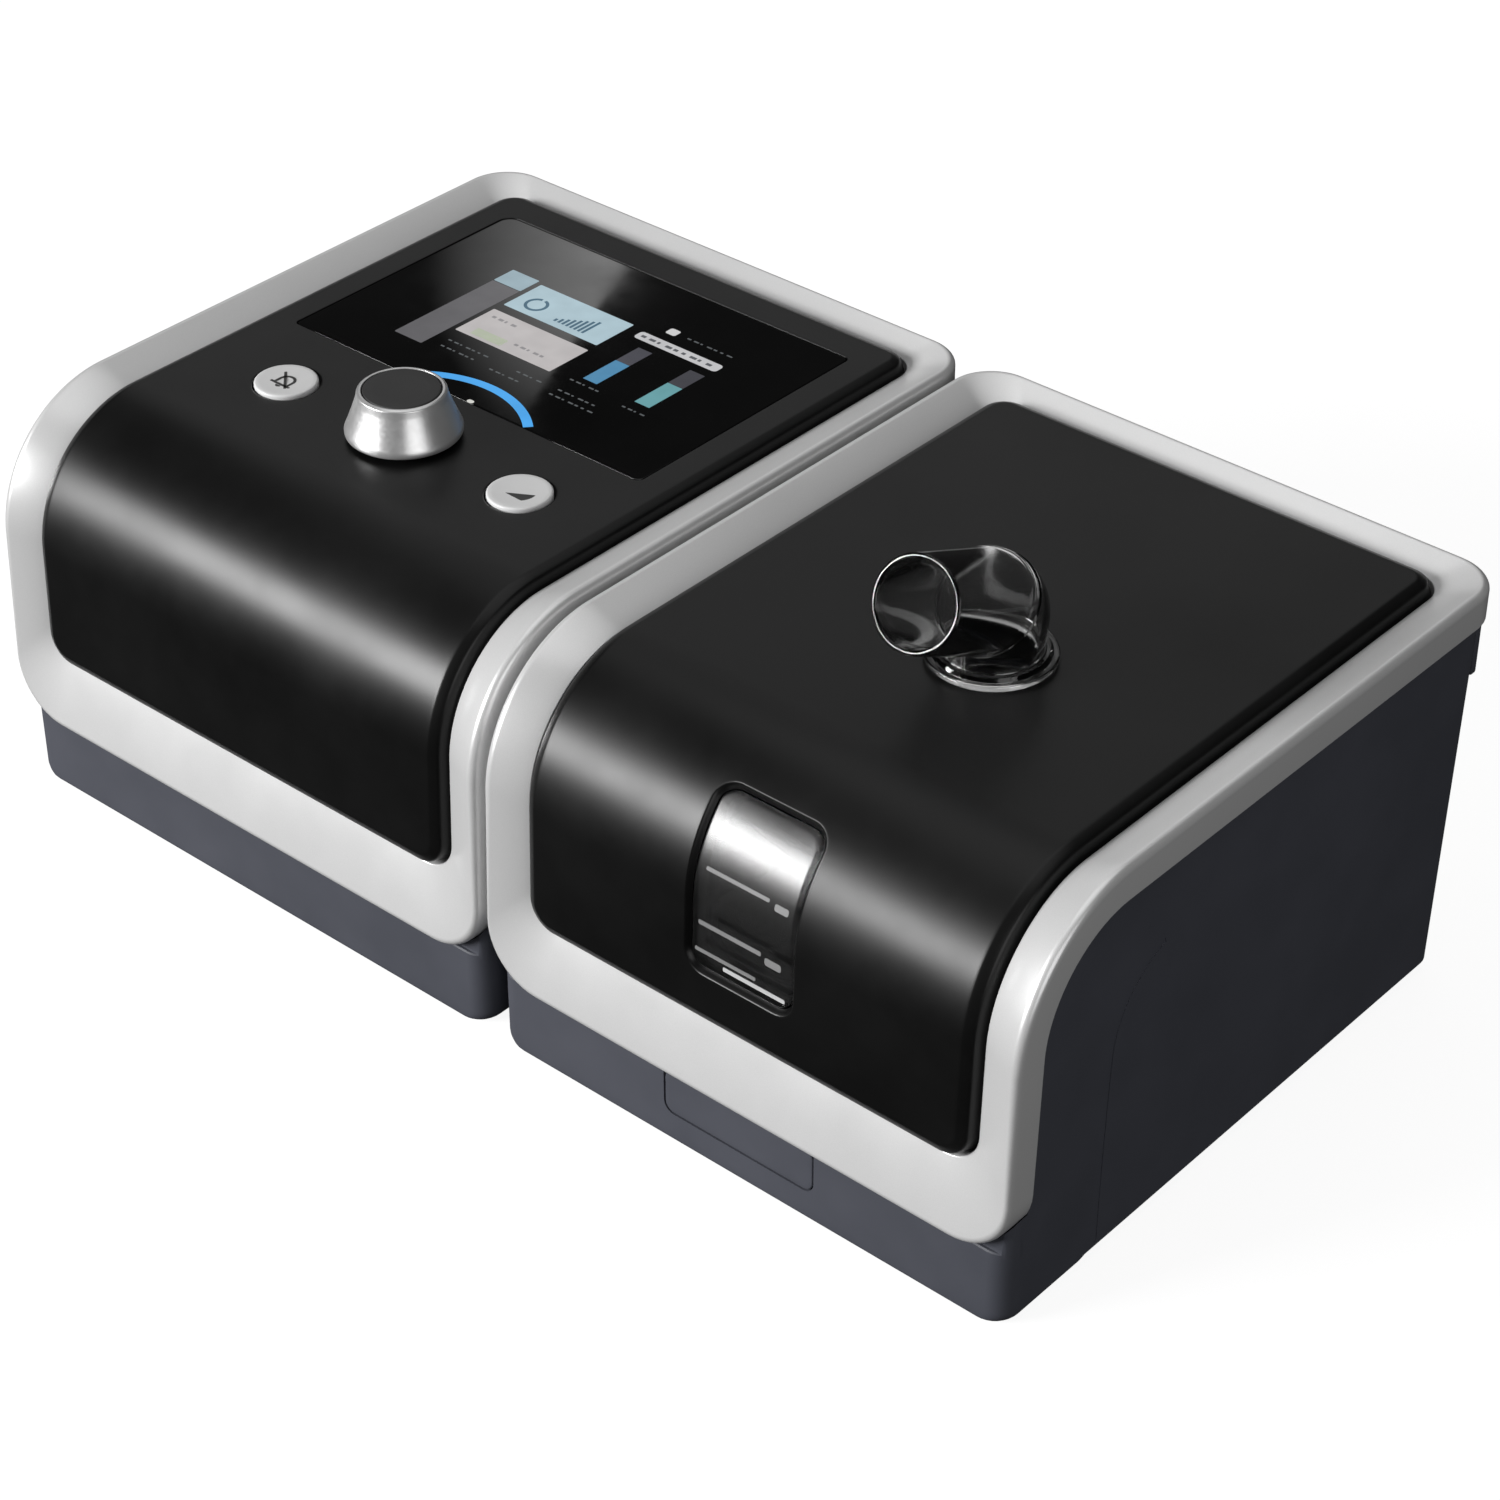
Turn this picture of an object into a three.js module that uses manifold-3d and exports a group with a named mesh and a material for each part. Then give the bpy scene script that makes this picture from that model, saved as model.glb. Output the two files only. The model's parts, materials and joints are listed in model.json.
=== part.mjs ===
// Bedside ventilator with a docked heated humidifier. Millimetres, +Z up, front towards -Y.
// The origin is on the table top, under the middle of the object.
import * as THREE from "three";
import { mergeVertices } from "three/addons/utils/BufferGeometryUtils.js";
import Module from "manifold-3d";

const wasm = await Module();
wasm.setup();

// ---------------------------------------------------------------- driving dimensions

const WIDTH = 290; // both units, side by side
const DEPTH = 166;
const TOP_Z = 97.3; // crest of the silver frames
const UNIT_GAP = 2.5;
const MAIN_WIDTH = 149.1;
const GAP = 0.3; // air left between touching pieces
const WALL = 2.4; // moulded shells

const MAIN = { x0: -WIDTH / 2, x1: -WIDTH / 2 + MAIN_WIDTH };
const HUMIDIFIER = { x0: MAIN.x1 + UNIT_GAP, x1: WIDTH / 2 };
MAIN.middle = (MAIN.x0 + MAIN.x1) / 2;
HUMIDIFIER.middle = (HUMIDIFIER.x0 + HUMIDIFIER.x1) / 2;

// The skin is the curve that the frames and covers follow: up the front, over, and back.
const SKIN = {
  frontY: -DEPTH / 2,
  frontZ: 19.5,
  lean: THREE.MathUtils.degToRad(2),
  radius: 32.5,
  backY: DEPTH / 2,
};
const FRAME = {
  side: 10.3,
  front: 17.1,
  back: 7.4,
  drop: 3.3,
  height: 7.9,
  edge: 1.6,
  cornerFront: 14,
  cornerBack: 11,
  innerCornerFront: 8,
  innerCornerBack: 7,
};
const COVER = { top: -0.5, foot: -4.2, bottom: -6.4, bevel: 3.3, shell: 2.2 };

const BASE = {
  frontY: -80.5,
  backBottomY: 73.2,
  backTopY: 77.2,
  inset: 0.9,
  cavityInset: 4.6,
  skidZ: 0.3,
  skidDepth: 24,
  skirtZ: 2.9,
  floorZ: 5.3,
  cavityZ: 7.6,
  corner: 5,
  bottomCorner: 3,
};
const KNOB = {
  x: -69.1,
  y: -26.6,
  baseR: 13.3,
  topR: 9.6,
  height: 11.6,
  bottomR: 6.5,
  capR: 8.7,
  capRecess: 2.6,
  press: 0.5,
};
const BUTTON = { r: 7.3, dx: 36.4, y: -27.9, travel: 0.9, rise: 0.7, stemR: 2, stem: 2 };
const SWITCH_HALF = 3;
const SCREEN = { x0: -124.3, x1: -17, y0: -7.3, y1: 63.5, thick: 1.6, corner: 3 };
const DISPLAY = { x0: -112, x1: -29, y0: 12, y1: 62, corner: 1.5, gapToBoard: 8 };
const BOARD = { x0: -130, x1: -10, y0: -40, y1: 66, z: 80, thick: 1.6, holeInset: 8, holeR: 1.6 };
const ENCODER = { half: 6.5, height: 6.5, bushR: 4.5, shaftR: 3, floor: 1.2, plunger: 2 };
const LIGHT_ARC = { r: 27.2, halfAngle: THREE.MathUtils.degToRad(42), width: 2.2, depth: 3 };

const BLOWER = {
  x: -96,
  y: 10,
  z: 14,
  r: 34,
  height: 30,
  wall: 2,
  eyeR: 11,
  collarR: 14,
  collarHeight: 8,
  statorR: 15,
  statorHeight: 9,
};
const ISOLATOR = { r: 22, boreR: 17, z: 8 };
const IMPELLER = { r: 24, shaftR: 2, z: 13, disc: 1.6, blades: 7, bladeHeight: 9 };
const PORT = { y: BLOWER.y - 22, z: 30, r: 10.5, wall: 1.8, reach: 9 };
// The docking plug, from the middle of the air port; its nose is a little smaller.
const PLUG = { y0: PORT.y + 30, y1: PORT.y + 48, z0: PORT.z - 6, z1: PORT.z + 4, nose: 3 };
const FILTER = { x: -112, z: 42, width: 34, height: 40, corner: 2, thick: 4 };
const GRILLE = { slots: 6, pitch: 5.2, half: 12, slotHalf: 1.1 };
const FOAM = { half: 15, halfHeight: 18, y0: 48, y1: 62, filterY: 63, filterGap: 6 };
const POWER = { x: -30, z: 22, size: 16, depth: 14, bore: 11, boreR: 3.3, pinR: 1.1, pin: 9 };
const SD_CARD = { y: 30, z: 66, width: 24, thick: 2.1, depth: 32, proud: 0.8 };
const SD_SOCKET = { x: 9, length: 29, half: 15, halfHeight: 3 };
const SD_SLOT = { x: 33, half: 12.3, halfHeight: 1.4, margin: 1, wallHalfHeight: 2.2 };

const CHAMBER = { width: 108, depth: 112, y: -6, z: 20, height: 54, corner: 16, wall: 2 };
const CHAMBER_PLATE = { inset: 3, thick: 1.6 };
const HEATER = { inset: 4, z: 13.7, gap: 2.2 };
const INSULATOR = { inset: 2, z0: 8, z1: 13.4 };
const COLLAR_DROP = 14; // from the frames' crest to the top of the chamber's collar
const GASKET = { gap: 0.4, height: 3.5, width: 2 };
const INLET = { z: PORT.z + 24, r: 7.3 };
const RISER = { wall: 1.6, half: 13, z0: 17, z1: 63, chamberGap: 0.6, wallGap: 5.1 };
const ELBOW = {
  x: 81.9,
  y: -10.7,
  r: 10.9,
  boreR: 9.7,
  mouthR: 10.1,
  mouthBoreR: 8.8,
  flangeR: 13.8,
  flangeHeight: 2.4,
  bendHeight: 13,
  reach: 30.5,
  axis: new THREE.Vector3(0.049, -0.888, 0.435).normalize(),
};
const WINDOW = { x0: 62.5, x1: 89.5, s0: 31, s1: 73.5, corner: 4.5 };
const LINER = { inset: 6, s0: 22, back: 9.2, corner: 6, thick: 1.6 };
const TAB = { x0: 55.2, x1: 95, z0: 7.6, z1: 18.6, thick: 2.4, travel: 2, corner: 2.5, reach: 7 };
const TAB_BOSS = { half: 10, z0: 9.6, z1: 13.6 };
const SPRING = { z: 11.6, r: 2.6, wall: 1, length: 7, seatHalf: 6, seat: 2, seatTop: 15 };
const HINGE = { y: 76.8, z: 70.5, r: 1.5, play: 0.15, length: 26, spread: 46 };
const EAR = { half: 4, drop: 12, back: 3, top: 2.4 };
const KNUCKLE = { offset: 9, half: 4.6, r: 3, room: 1.4 };
const SKIRT = { z0: 73.2, y: 77.6, thick: 2.2, inset: 3.2, room: 3.2 };
const BRIDGE = { inset: 12, y: 70, roomInset: 4.6, roomY: 65 };

const FOOT = { r: 6.5, height: 2.5, frontY: -68.5, backY: 60, frontInset: 20, backInset: 30 };
const SCREW = { headR: 2.9, headHeight: 1.5, shankR: 1.3, length: 6, y: 60, inset: 14, hole: 12 };

// ---------------------------------------------------------------- materials

const material = (color, roughness, metalness = 0, opacity = 1) =>
  new THREE.MeshStandardMaterial({
    color,
    roughness,
    metalness,
    opacity,
    transparent: opacity < 1,
  });

const silver = material(0xc4c4c2, 0.35, 0.6);
const blackCover = material(0x161616, 0.4);
const slate = material(0x3a3b44, 0.6);
const glassBlack = material(0x050505, 0.08);
const clear = material(0xe8eef0, 0.05, 0, 0.3);
const buttonGrey = material(0xb9b9b7, 0.45);
const rubber = material(0x1b1b1c, 0.85);
const steel = material(0x9a9c9e, 0.3, 0.9);
const board = material(0x1f5a34, 0.6);
const whitePlastic = material(0xdedede, 0.5);
const foam = material(0x4a4a4c, 0.95);
const lightBlue = material(0x3ba4ee, 0.3);
const copper = material(0xb87544, 0.35, 0.9);

// ---------------------------------------------------------------- solids

// Joins and cuts are made on closed solids; shapes themselves are three.js geometry.
function solid(geometry) {
  const bare = geometry.index ? geometry.toNonIndexed() : geometry.clone();
  bare.deleteAttribute("normal");
  bare.deleteAttribute("uv");
  const merged = mergeVertices(bare, 1e-4);
  const triVerts = new Uint32Array(merged.index.array);
  const vertProperties = merged.attributes.position.array;
  const made = new wasm.Manifold(new wasm.Mesh({ numProp: 3, vertProperties, triVerts }));
  if (made.volume() > 0) return made;
  for (let i = 0; i < triVerts.length; i += 3) {
    [triVerts[i + 1], triVerts[i + 2]] = [triVerts[i + 2], triVerts[i + 1]];
  }
  return new wasm.Manifold(new wasm.Mesh({ numProp: 3, vertProperties, triVerts }));
}

const cut = (body, ...tools) => tools.reduce((left, tool) => left.subtract(tool), body);
const join = (body, ...others) => others.reduce((left, other) => left.add(other), body);
const common = (body, ...others) => others.reduce((left, other) => left.intersect(other), body);

function geometryOf(manifold) {
  const mesh = manifold.getMesh();
  const geometry = new THREE.BufferGeometry();
  geometry.setAttribute("position", new THREE.BufferAttribute(mesh.vertProperties, 3));
  geometry.setIndex(new THREE.BufferAttribute(mesh.triVerts, 1));
  geometry.computeVertexNormals();
  return geometry;
}

// A box from its lowest to its highest corner.
function block(x0, y0, z0, x1, y1, z1) {
  const geometry = new THREE.BoxGeometry(x1 - x0, y1 - y0, z1 - z0);
  return solid(geometry.translate((x0 + x1) / 2, (y0 + y1) / 2, (z0 + z1) / 2));
}

// An upright cylinder from z0 to z1.
function post(x, y, z0, z1, r, segments = 24) {
  const geometry = new THREE.CylinderGeometry(r, r, z1 - z0, segments);
  return solid(geometry.rotateX(Math.PI / 2).translate(x, y, (z0 + z1) / 2));
}

// A cylinder along X from x0 to x1.
function rodX(x0, x1, y, z, r, segments = 16) {
  const geometry = new THREE.CylinderGeometry(r, r, x1 - x0, segments);
  return solid(geometry.rotateZ(Math.PI / 2).translate((x0 + x1) / 2, y, z));
}

// A cylinder along Y from y0 to y1.
function rodY(x, y0, y1, z, r, segments = 16) {
  const geometry = new THREE.CylinderGeometry(r, r, y1 - y0, segments);
  return solid(geometry.translate(x, (y0 + y1) / 2, z));
}

// A turned solid about an upright axis; the profile is [radius, height] pairs.
function turned(x, y, z, profile, segments = 32) {
  const points = profile.map(([r, h]) => new THREE.Vector2(r, h));
  const geometry = new THREE.LatheGeometry(points, segments);
  return solid(geometry.rotateX(Math.PI / 2).translate(x, y, z));
}

function roundedRect(x0, y0, x1, y1, r) {
  const shape = new THREE.Shape();
  shape.moveTo(x0 + r, y0);
  shape.lineTo(x1 - r, y0);
  shape.absarc(x1 - r, y0 + r, r, -Math.PI / 2, 0);
  shape.lineTo(x1, y1 - r);
  shape.absarc(x1 - r, y1 - r, r, 0, Math.PI / 2);
  shape.lineTo(x0 + r, y1);
  shape.absarc(x0 + r, y1 - r, r, Math.PI / 2, Math.PI);
  shape.lineTo(x0, y0 + r);
  shape.absarc(x0 + r, y0 + r, r, Math.PI, 1.5 * Math.PI);
  return shape;
}

// An upright plate with rounded corners, from z0 to z1.
function plate(x0, y0, x1, y1, r, z0, z1, curveSegments = 4) {
  const options = { depth: z1 - z0, bevelEnabled: false, curveSegments };
  const geometry = new THREE.ExtrudeGeometry(roundedRect(x0, y0, x1, y1, r), options);
  return solid(geometry.translate(0, 0, z0));
}

// A side profile of [y, z] pairs, extruded across X.
function crosswise(profile, x0, x1) {
  const shape = new THREE.Shape(profile.map(([y, z]) => new THREE.Vector2(y, z)));
  const options = { depth: x1 - x0, bevelEnabled: false };
  const geometry = new THREE.ExtrudeGeometry(shape, options);
  // The shape's axes become Y and Z, and the depth becomes X.
  const turn = new THREE.Matrix4().set(0, 0, 1, x0, 1, 0, 0, 0, 0, 1, 0, 0, 0, 0, 0, 1);
  return solid(geometry.applyMatrix4(turn));
}

// A front view of [x, z] pairs, extruded along Y.
function lengthwise(profile, y0, y1) {
  const shape = new THREE.Shape(profile.map(([x, z]) => new THREE.Vector2(x, z)));
  const geometry = new THREE.ExtrudeGeometry(shape, { depth: y1 - y0, bevelEnabled: false });
  return solid(geometry.rotateX(Math.PI / 2).translate(0, y1, 0));
}

// ---------------------------------------------------------------- the curved skin

const SKIN_CENTRE_Z = TOP_Z - SKIN.radius;
const SKIN_TANGENT_Z = SKIN_CENTRE_Z + SKIN.radius * Math.sin(SKIN.lean);
const SKIN_RISE = (SKIN_TANGENT_Z - SKIN.frontZ) / Math.cos(SKIN.lean);
const SKIN_CENTRE_Y =
  SKIN.frontY + SKIN_RISE * Math.sin(SKIN.lean) + SKIN.radius * Math.cos(SKIN.lean);
const SKIN_ARC = SKIN.radius * (Math.PI / 2 - SKIN.lean);
const SKIN_LENGTH = SKIN_RISE + SKIN_ARC + SKIN.backY - SKIN_CENTRE_Y;

// The point at distance s along the skin and height h off it, as [y, z].
function skinPoint(s, h) {
  const lift = SKIN.radius + h;
  if (s < SKIN_RISE) {
    const below = s - SKIN_RISE;
    return [
      SKIN_CENTRE_Y - lift * Math.cos(SKIN.lean) + below * Math.sin(SKIN.lean),
      SKIN_CENTRE_Z + lift * Math.sin(SKIN.lean) + below * Math.cos(SKIN.lean),
    ];
  }
  if (s < SKIN_RISE + SKIN_ARC) {
    const angle = SKIN.lean + (s - SKIN_RISE) / SKIN.radius;
    return [SKIN_CENTRE_Y - lift * Math.cos(angle), SKIN_CENTRE_Z + lift * Math.sin(angle)];
  }
  return [SKIN_CENTRE_Y + s - SKIN_RISE - SKIN_ARC, SKIN_CENTRE_Z + lift];
}

// Distance along the skin of a point on the level top.
const skinDistance = (y) => SKIN_RISE + SKIN_ARC + y - SKIN_CENTRE_Y;

const BEND_STEPS = 10;
const BEND_STATIONS = Array.from(
  { length: BEND_STEPS + 1 },
  (_, i) => SKIN_RISE + (SKIN_ARC * i) / BEND_STEPS,
);

// The skin's side profile at height h between two distances, as [y, z] pairs.
function skinProfile(h, s0, s1) {
  const stations = [s0, ...BEND_STATIONS.filter((s) => s > s0 && s < s1), s1];
  return stations.map((s) => skinPoint(s, h));
}

// The right half of a rounded rectangle on the unrolled skin, from front to back, as [x, s].
function halfOutline(area, stations, steps) {
  const points = [];
  for (let i = 0; i <= steps; i++) {
    const angle = ((i / steps) * Math.PI) / 2;
    const r = area.rFront;
    points.push([area.x1 - r + r * Math.sin(angle), area.s0 + r - r * Math.cos(angle)]);
  }
  for (const s of stations) points.push([area.x1, s]);
  for (let i = 0; i <= steps; i++) {
    const angle = ((i / steps) * Math.PI) / 2;
    const r = area.rBack;
    points.push([area.x1 - r + r * Math.cos(angle), area.s1 - r + r * Math.sin(angle)]);
  }
  return points;
}

// The whole outline: the right half, then its mirror image back to the start.
function outline(area, stations, steps) {
  const right = halfOutline(area, stations, steps);
  const mirror = area.x0 + area.x1;
  return [...right, ...right.map(([x, s]) => [mirror - x, s]).reverse()];
}

const grown = (area, by) => ({
  x0: area.x0 - by,
  x1: area.x1 + by,
  s0: area.s0 - by,
  s1: area.s1 + by,
  rFront: Math.max(area.rFront + by, 0.4),
  rBack: Math.max(area.rBack + by, 0.4),
});

// Bend stations that lie on the straight side of an area.
const sideStations = (area) =>
  BEND_STATIONS.filter((s) => s > area.s0 + area.rFront + 1 && s < area.s1 - area.rBack - 1);

function meshOf(rings, faces) {
  const positions = rings.flat().flatMap((p) => p);
  const geometry = new THREE.BufferGeometry();
  geometry.setAttribute("position", new THREE.Float32BufferAttribute(positions, 3));
  geometry.setIndex(faces);
  return solid(geometry);
}

// Faces between consecutive rings of the same length, each ring closed on itself.
function bandFaces(ringCount, ringLength, closed) {
  const faces = [];
  const last = closed ? ringCount : ringCount - 1;
  for (let j = 0; j < last; j++) {
    for (let k = 0; k < ringLength; k++) {
      const next = (k + 1) % ringLength;
      const a = j * ringLength + k;
      const b = j * ringLength + next;
      const c = ((j + 1) % ringCount) * ringLength + next;
      const d = ((j + 1) % ringCount) * ringLength + k;
      faces.push(a, b, c, a, c, d);
    }
  }
  return faces;
}

// A plate on the skin. layers run from the middle of its outer face, over its edge, to the
// middle of its inner face; each is the edge's inset from the area and its height off the skin.
function skinPlate(area, layers, steps = 4) {
  const stations = sideStations(area);
  const rings = layers.map(({ inset, h }) =>
    outline(grown(area, -inset), stations, steps).map(([x, s]) => [x, ...skinPoint(s, h)]),
  );
  const count = rings[0].length;
  const faces = bandFaces(rings.length, count, false);
  const lastRing = (rings.length - 1) * count;
  for (let k = 0; k < count / 2 - 1; k++) {
    const mate = count - 1 - k;
    faces.push(k, mate, mate - 1, k, mate - 1, k + 1);
    faces.push(lastRing + k, lastRing + mate - 1, lastRing + mate);
    faces.push(lastRing + k, lastRing + k + 1, lastRing + mate - 1);
  }
  return meshOf(rings, faces);
}

// A frame on the skin between two outlines. Each corner of its section is a share of the way
// from the outer to the inner outline, plus a distance on from there, and a height.
function skinRing(outer, inner, section, steps = 6) {
  const stations = sideStations(inner);
  const from = outline(outer, stations, steps);
  const to = outline(inner, stations, steps);
  const rings = section.map(({ share, on = 0, h }) =>
    from.map(([x, s], k) => {
      const across = new THREE.Vector2(to[k][0] - x, to[k][1] - s);
      const step = share * across.length() + on;
      across.normalize().multiplyScalar(step);
      return [x + across.x, ...skinPoint(s + across.y, h)];
    }),
  );
  return meshOf(rings, bandFaces(rings.length, from.length, true));
}

// ---------------------------------------------------------------- shared casing shapes

const frameOuter = (unit) => ({
  x0: unit.x0,
  x1: unit.x1,
  s0: 0,
  s1: SKIN_LENGTH,
  rFront: FRAME.cornerFront,
  rBack: FRAME.cornerBack,
});

const frameInner = (unit) => ({
  x0: unit.x0 + FRAME.side,
  x1: unit.x1 - FRAME.side,
  s0: FRAME.front,
  s1: SKIN_LENGTH - FRAME.back,
  rFront: FRAME.innerCornerFront,
  rBack: FRAME.innerCornerBack,
});

// A silver frame: rounded outer edge, a facet that falls inwards, and an upright outer wall.
function frameSolid(unit) {
  const e = FRAME.edge;
  return skinRing(frameOuter(unit), frameInner(unit), [
    { share: 0, h: -FRAME.height },
    { share: 0, h: -e },
    { share: 0, on: 0.3 * e, h: -0.3 * e },
    { share: 0, on: e, h: -0.05 },
    { share: 1, h: -FRAME.drop },
    { share: 1, h: -FRAME.height },
  ]);
}

// A black cover: it fills its frame, with a rounded rim that rises to a level field.
function coverSolid(unit) {
  const area = grown(frameInner(unit), -GAP);
  const shell = COVER.shell;
  return skinPlate(area, [
    { inset: COVER.bevel, h: COVER.top },
    { inset: 0.45 * COVER.bevel, h: COVER.top - 0.5 },
    { inset: 0, h: COVER.foot },
    { inset: 0, h: COVER.bottom },
    { inset: shell, h: COVER.bottom },
    { inset: shell, h: COVER.foot },
    { inset: COVER.bevel + 1, h: COVER.top - shell },
  ]);
}

const FRAME_SEAT = -FRAME.height - GAP; // bases and liners end this far below the skin

const WEB = { width: 15, height: 15, overlap: 1.5, corner: 0.5, sunk: 3.4, backing: 1.3 };

const basePlan = (unit) =>
  plate(
    unit.x0 + BASE.inset,
    BASE.frontY,
    unit.x1 - BASE.inset,
    BASE.backTopY,
    BASE.corner,
    0,
    TOP_Z,
  );

// The outer form of a base: side profile, front view and plan, each with its own rounding.
function baseForm(unit) {
  const x0 = unit.x0 + BASE.inset;
  const x1 = unit.x1 - BASE.inset;
  const skirt = BASE.frontY + BASE.skidDepth;
  const side = [
    [BASE.frontY, BASE.skidZ],
    [skirt, BASE.skidZ],
    [skirt + 2, BASE.skirtZ],
    [BASE.backBottomY, BASE.skirtZ],
    ...skinProfile(FRAME_SEAT, 0, skinDistance(BASE.backTopY)).reverse(),
    [BASE.frontY, skinPoint(0, FRAME_SEAT)[1]],
  ];
  const r = BASE.bottomCorner;
  const arc = (x, z, from, to) =>
    Array.from({ length: 6 }, (_, i) => {
      const angle = from + ((to - from) * i) / 5;
      return [x + r * Math.cos(angle), z + r * Math.sin(angle)];
    });
  const front = [
    ...arc(x0 + r, BASE.skidZ + r, Math.PI, 1.5 * Math.PI),
    ...arc(x1 - r, BASE.skidZ + r, 1.5 * Math.PI, 2 * Math.PI),
    [x1, TOP_Z],
    [x0, TOP_Z],
  ];
  return common(
    crosswise(side, unit.x0, unit.x1),
    lengthwise(front, -DEPTH / 2, DEPTH / 2),
    basePlan(unit),
  );
}

// A web in a front corner, flush with the wall, that follows the rounded foot of the frame.
function cornerWeb(unit, x0) {
  const area = {
    x0,
    x1: x0 + WEB.width,
    s0: -WEB.overlap,
    s1: WEB.height,
    rFront: WEB.corner,
    rBack: WEB.corner,
  };
  const frame = grown(frameOuter(unit), GAP);
  const slab = (outline, outer, inner) =>
    skinPlate(outline, [
      { inset: 0, h: outer },
      { inset: 0, h: inner },
    ]);
  return common(
    cut(slab(area, -WEB.sunk, FRAME_SEAT - WEB.backing), slab(frame, 1, FRAME_SEAT)),
    basePlan(unit),
  );
}

const POCKET_Y = BASE.frontY + BASE.skidDepth + 4; // front of the pocket for the bottom plate
const VENT = { side: 25, front: 15, back: 20 }; // the opening over that plate

// An open-topped base: outer form, less its inside, its front opening and the bottom pocket.
function baseShell(unit) {
  const inside = [
    [BASE.frontY + WALL, BASE.cavityZ],
    [BASE.backBottomY - WALL, BASE.cavityZ],
    [BASE.backTopY - WALL, TOP_Z + 5],
    [-DEPTH, TOP_Z + 5],
    [-DEPTH, SKIN.frontZ],
    [BASE.frontY + WALL, SKIN.frontZ],
  ];
  const x0 = unit.x0 + BASE.cavityInset;
  const x1 = unit.x1 - BASE.cavityInset;
  const shell = cut(
    baseForm(unit),
    crosswise(inside, x0, x1),
    block(x0, POCKET_Y, -1, x1, BASE.backBottomY - WALL, BASE.floorZ),
    block(
      unit.x0 + VENT.side,
      POCKET_Y + VENT.front,
      0,
      unit.x1 - VENT.side,
      BASE.backBottomY - VENT.back,
      BASE.cavityZ + 1,
    ),
  );
  return join(
    shell,
    cornerWeb(unit, unit.x0 + BASE.inset),
    cornerWeb(unit, unit.x1 - BASE.inset - WEB.width),
  );
}

// A bottom plate hooks in at the front and is screwed on at the back.
MAIN.screws = [
  [MAIN.x0 + SCREW.inset, SCREW.y],
  [MAIN.x1 - SCREW.inset, SCREW.y],
];
HUMIDIFIER.screws = [[HUMIDIFIER.middle, SCREW.y]];
const footSpots = (unit) => [
  [unit.x0 + FOOT.frontInset, FOOT.frontY],
  [unit.x1 - FOOT.frontInset, FOOT.frontY],
  [unit.x0 + FOOT.backInset, FOOT.backY],
  [unit.x1 - FOOT.backInset, FOOT.backY],
];

const footSolid = ([x, y]) => post(x, y, 0, FOOT.height, FOOT.r, 16);
const footPocket = ([x, y]) => post(x, y, -1, FOOT.height + GAP, FOOT.r + GAP, 16);
const screwHole = ([x, y]) => post(x, y, -1, SCREW.hole, SCREW.shankR + GAP, 8);

function screwSolid([x, y]) {
  const head = BASE.skirtZ - GAP;
  return turned(
    x,
    y,
    head - SCREW.headHeight,
    [
      [0, 0],
      [SCREW.headR - 0.6, 0],
      [SCREW.headR, SCREW.headHeight - 0.4],
      [SCREW.headR, SCREW.headHeight],
      [SCREW.shankR, SCREW.headHeight],
      [SCREW.shankR, SCREW.headHeight + SCREW.length],
      [0, SCREW.headHeight + SCREW.length + 0.6],
    ],
    8,
  );
}

function bottomPlate(unit) {
  const edge = BASE.cavityInset + GAP;
  const front = POCKET_Y + GAP;
  const back = BASE.backBottomY - WALL - GAP;
  const slab = plate(
    unit.x0 + edge,
    front,
    unit.x1 - edge,
    back,
    3,
    BASE.skirtZ,
    BASE.floorZ - GAP,
  );
  return cut(slab, ...unit.screws.map(screwHole));
}

// ---------------------------------------------------------------- the scene graph

const ventilator = new THREE.Group();

function add(name, body, finish) {
  const mesh = new THREE.Mesh(geometryOf(body), finish);
  mesh.name = name;
  ventilator.add(mesh);
}

function addUnderside(prefix, unit) {
  add(prefix + "_bottom_plate", bottomPlate(unit), slate);
  footSpots(unit).forEach((spot, i) => add(`${prefix}_foot_${i + 1}`, footSolid(spot), rubber));
  unit.screws.forEach((spot, i) => add(`${prefix}_screw_${i + 1}`, screwSolid(spot), steel));
}

const frontFootPockets = (unit) => footSpots(unit).slice(0, 2).map(footPocket);

// ---------------------------------------------------------------- main unit: casing

const portHole = PORT.r + GAP;
const WALL_REACH = 8; // how far a cutter reaches inwards through a wall
const plugHole = (x0, x1) =>
  block(x0, PLUG.y0 - GAP, PLUG.z0 - GAP, x1, PLUG.y1 + GAP, PLUG.z1 + GAP);

add(
  "main_base",
  cut(
    baseShell(MAIN),
    ...frontFootPockets(MAIN),
    ...MAIN.screws.map(screwHole),
    rodX(MAIN.x1 - WALL_REACH, MAIN.x1 + 1, PORT.y, PORT.z, portHole, 24),
    plugHole(MAIN.x1 - WALL_REACH, MAIN.x1 + 1),
    block(
      FILTER.x - FILTER.width / 2,
      BASE.backBottomY - WALL_REACH,
      FILTER.z - FILTER.height / 2,
      FILTER.x + FILTER.width / 2,
      DEPTH / 2,
      FILTER.z + FILTER.height / 2,
    ),
    block(
      POWER.x - POWER.size / 2 - GAP,
      BASE.backBottomY - WALL_REACH,
      POWER.z - POWER.size / 2 - GAP,
      POWER.x + POWER.size / 2 + GAP,
      DEPTH / 2,
      POWER.z + POWER.size / 2 + GAP,
    ),
    block(
      MAIN.x0 - 1,
      SD_CARD.y - SD_CARD.width / 2 - SD_SLOT.margin,
      SD_CARD.z - SD_SLOT.wallHalfHeight,
      MAIN.x0 + WALL_REACH,
      SD_CARD.y + SD_CARD.width / 2 + SD_SLOT.margin,
      SD_CARD.z + SD_SLOT.wallHalfHeight,
    ),
  ),
  slate,
);
addUnderside("main", MAIN);
add("main_frame", frameSolid(MAIN), silver);

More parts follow.
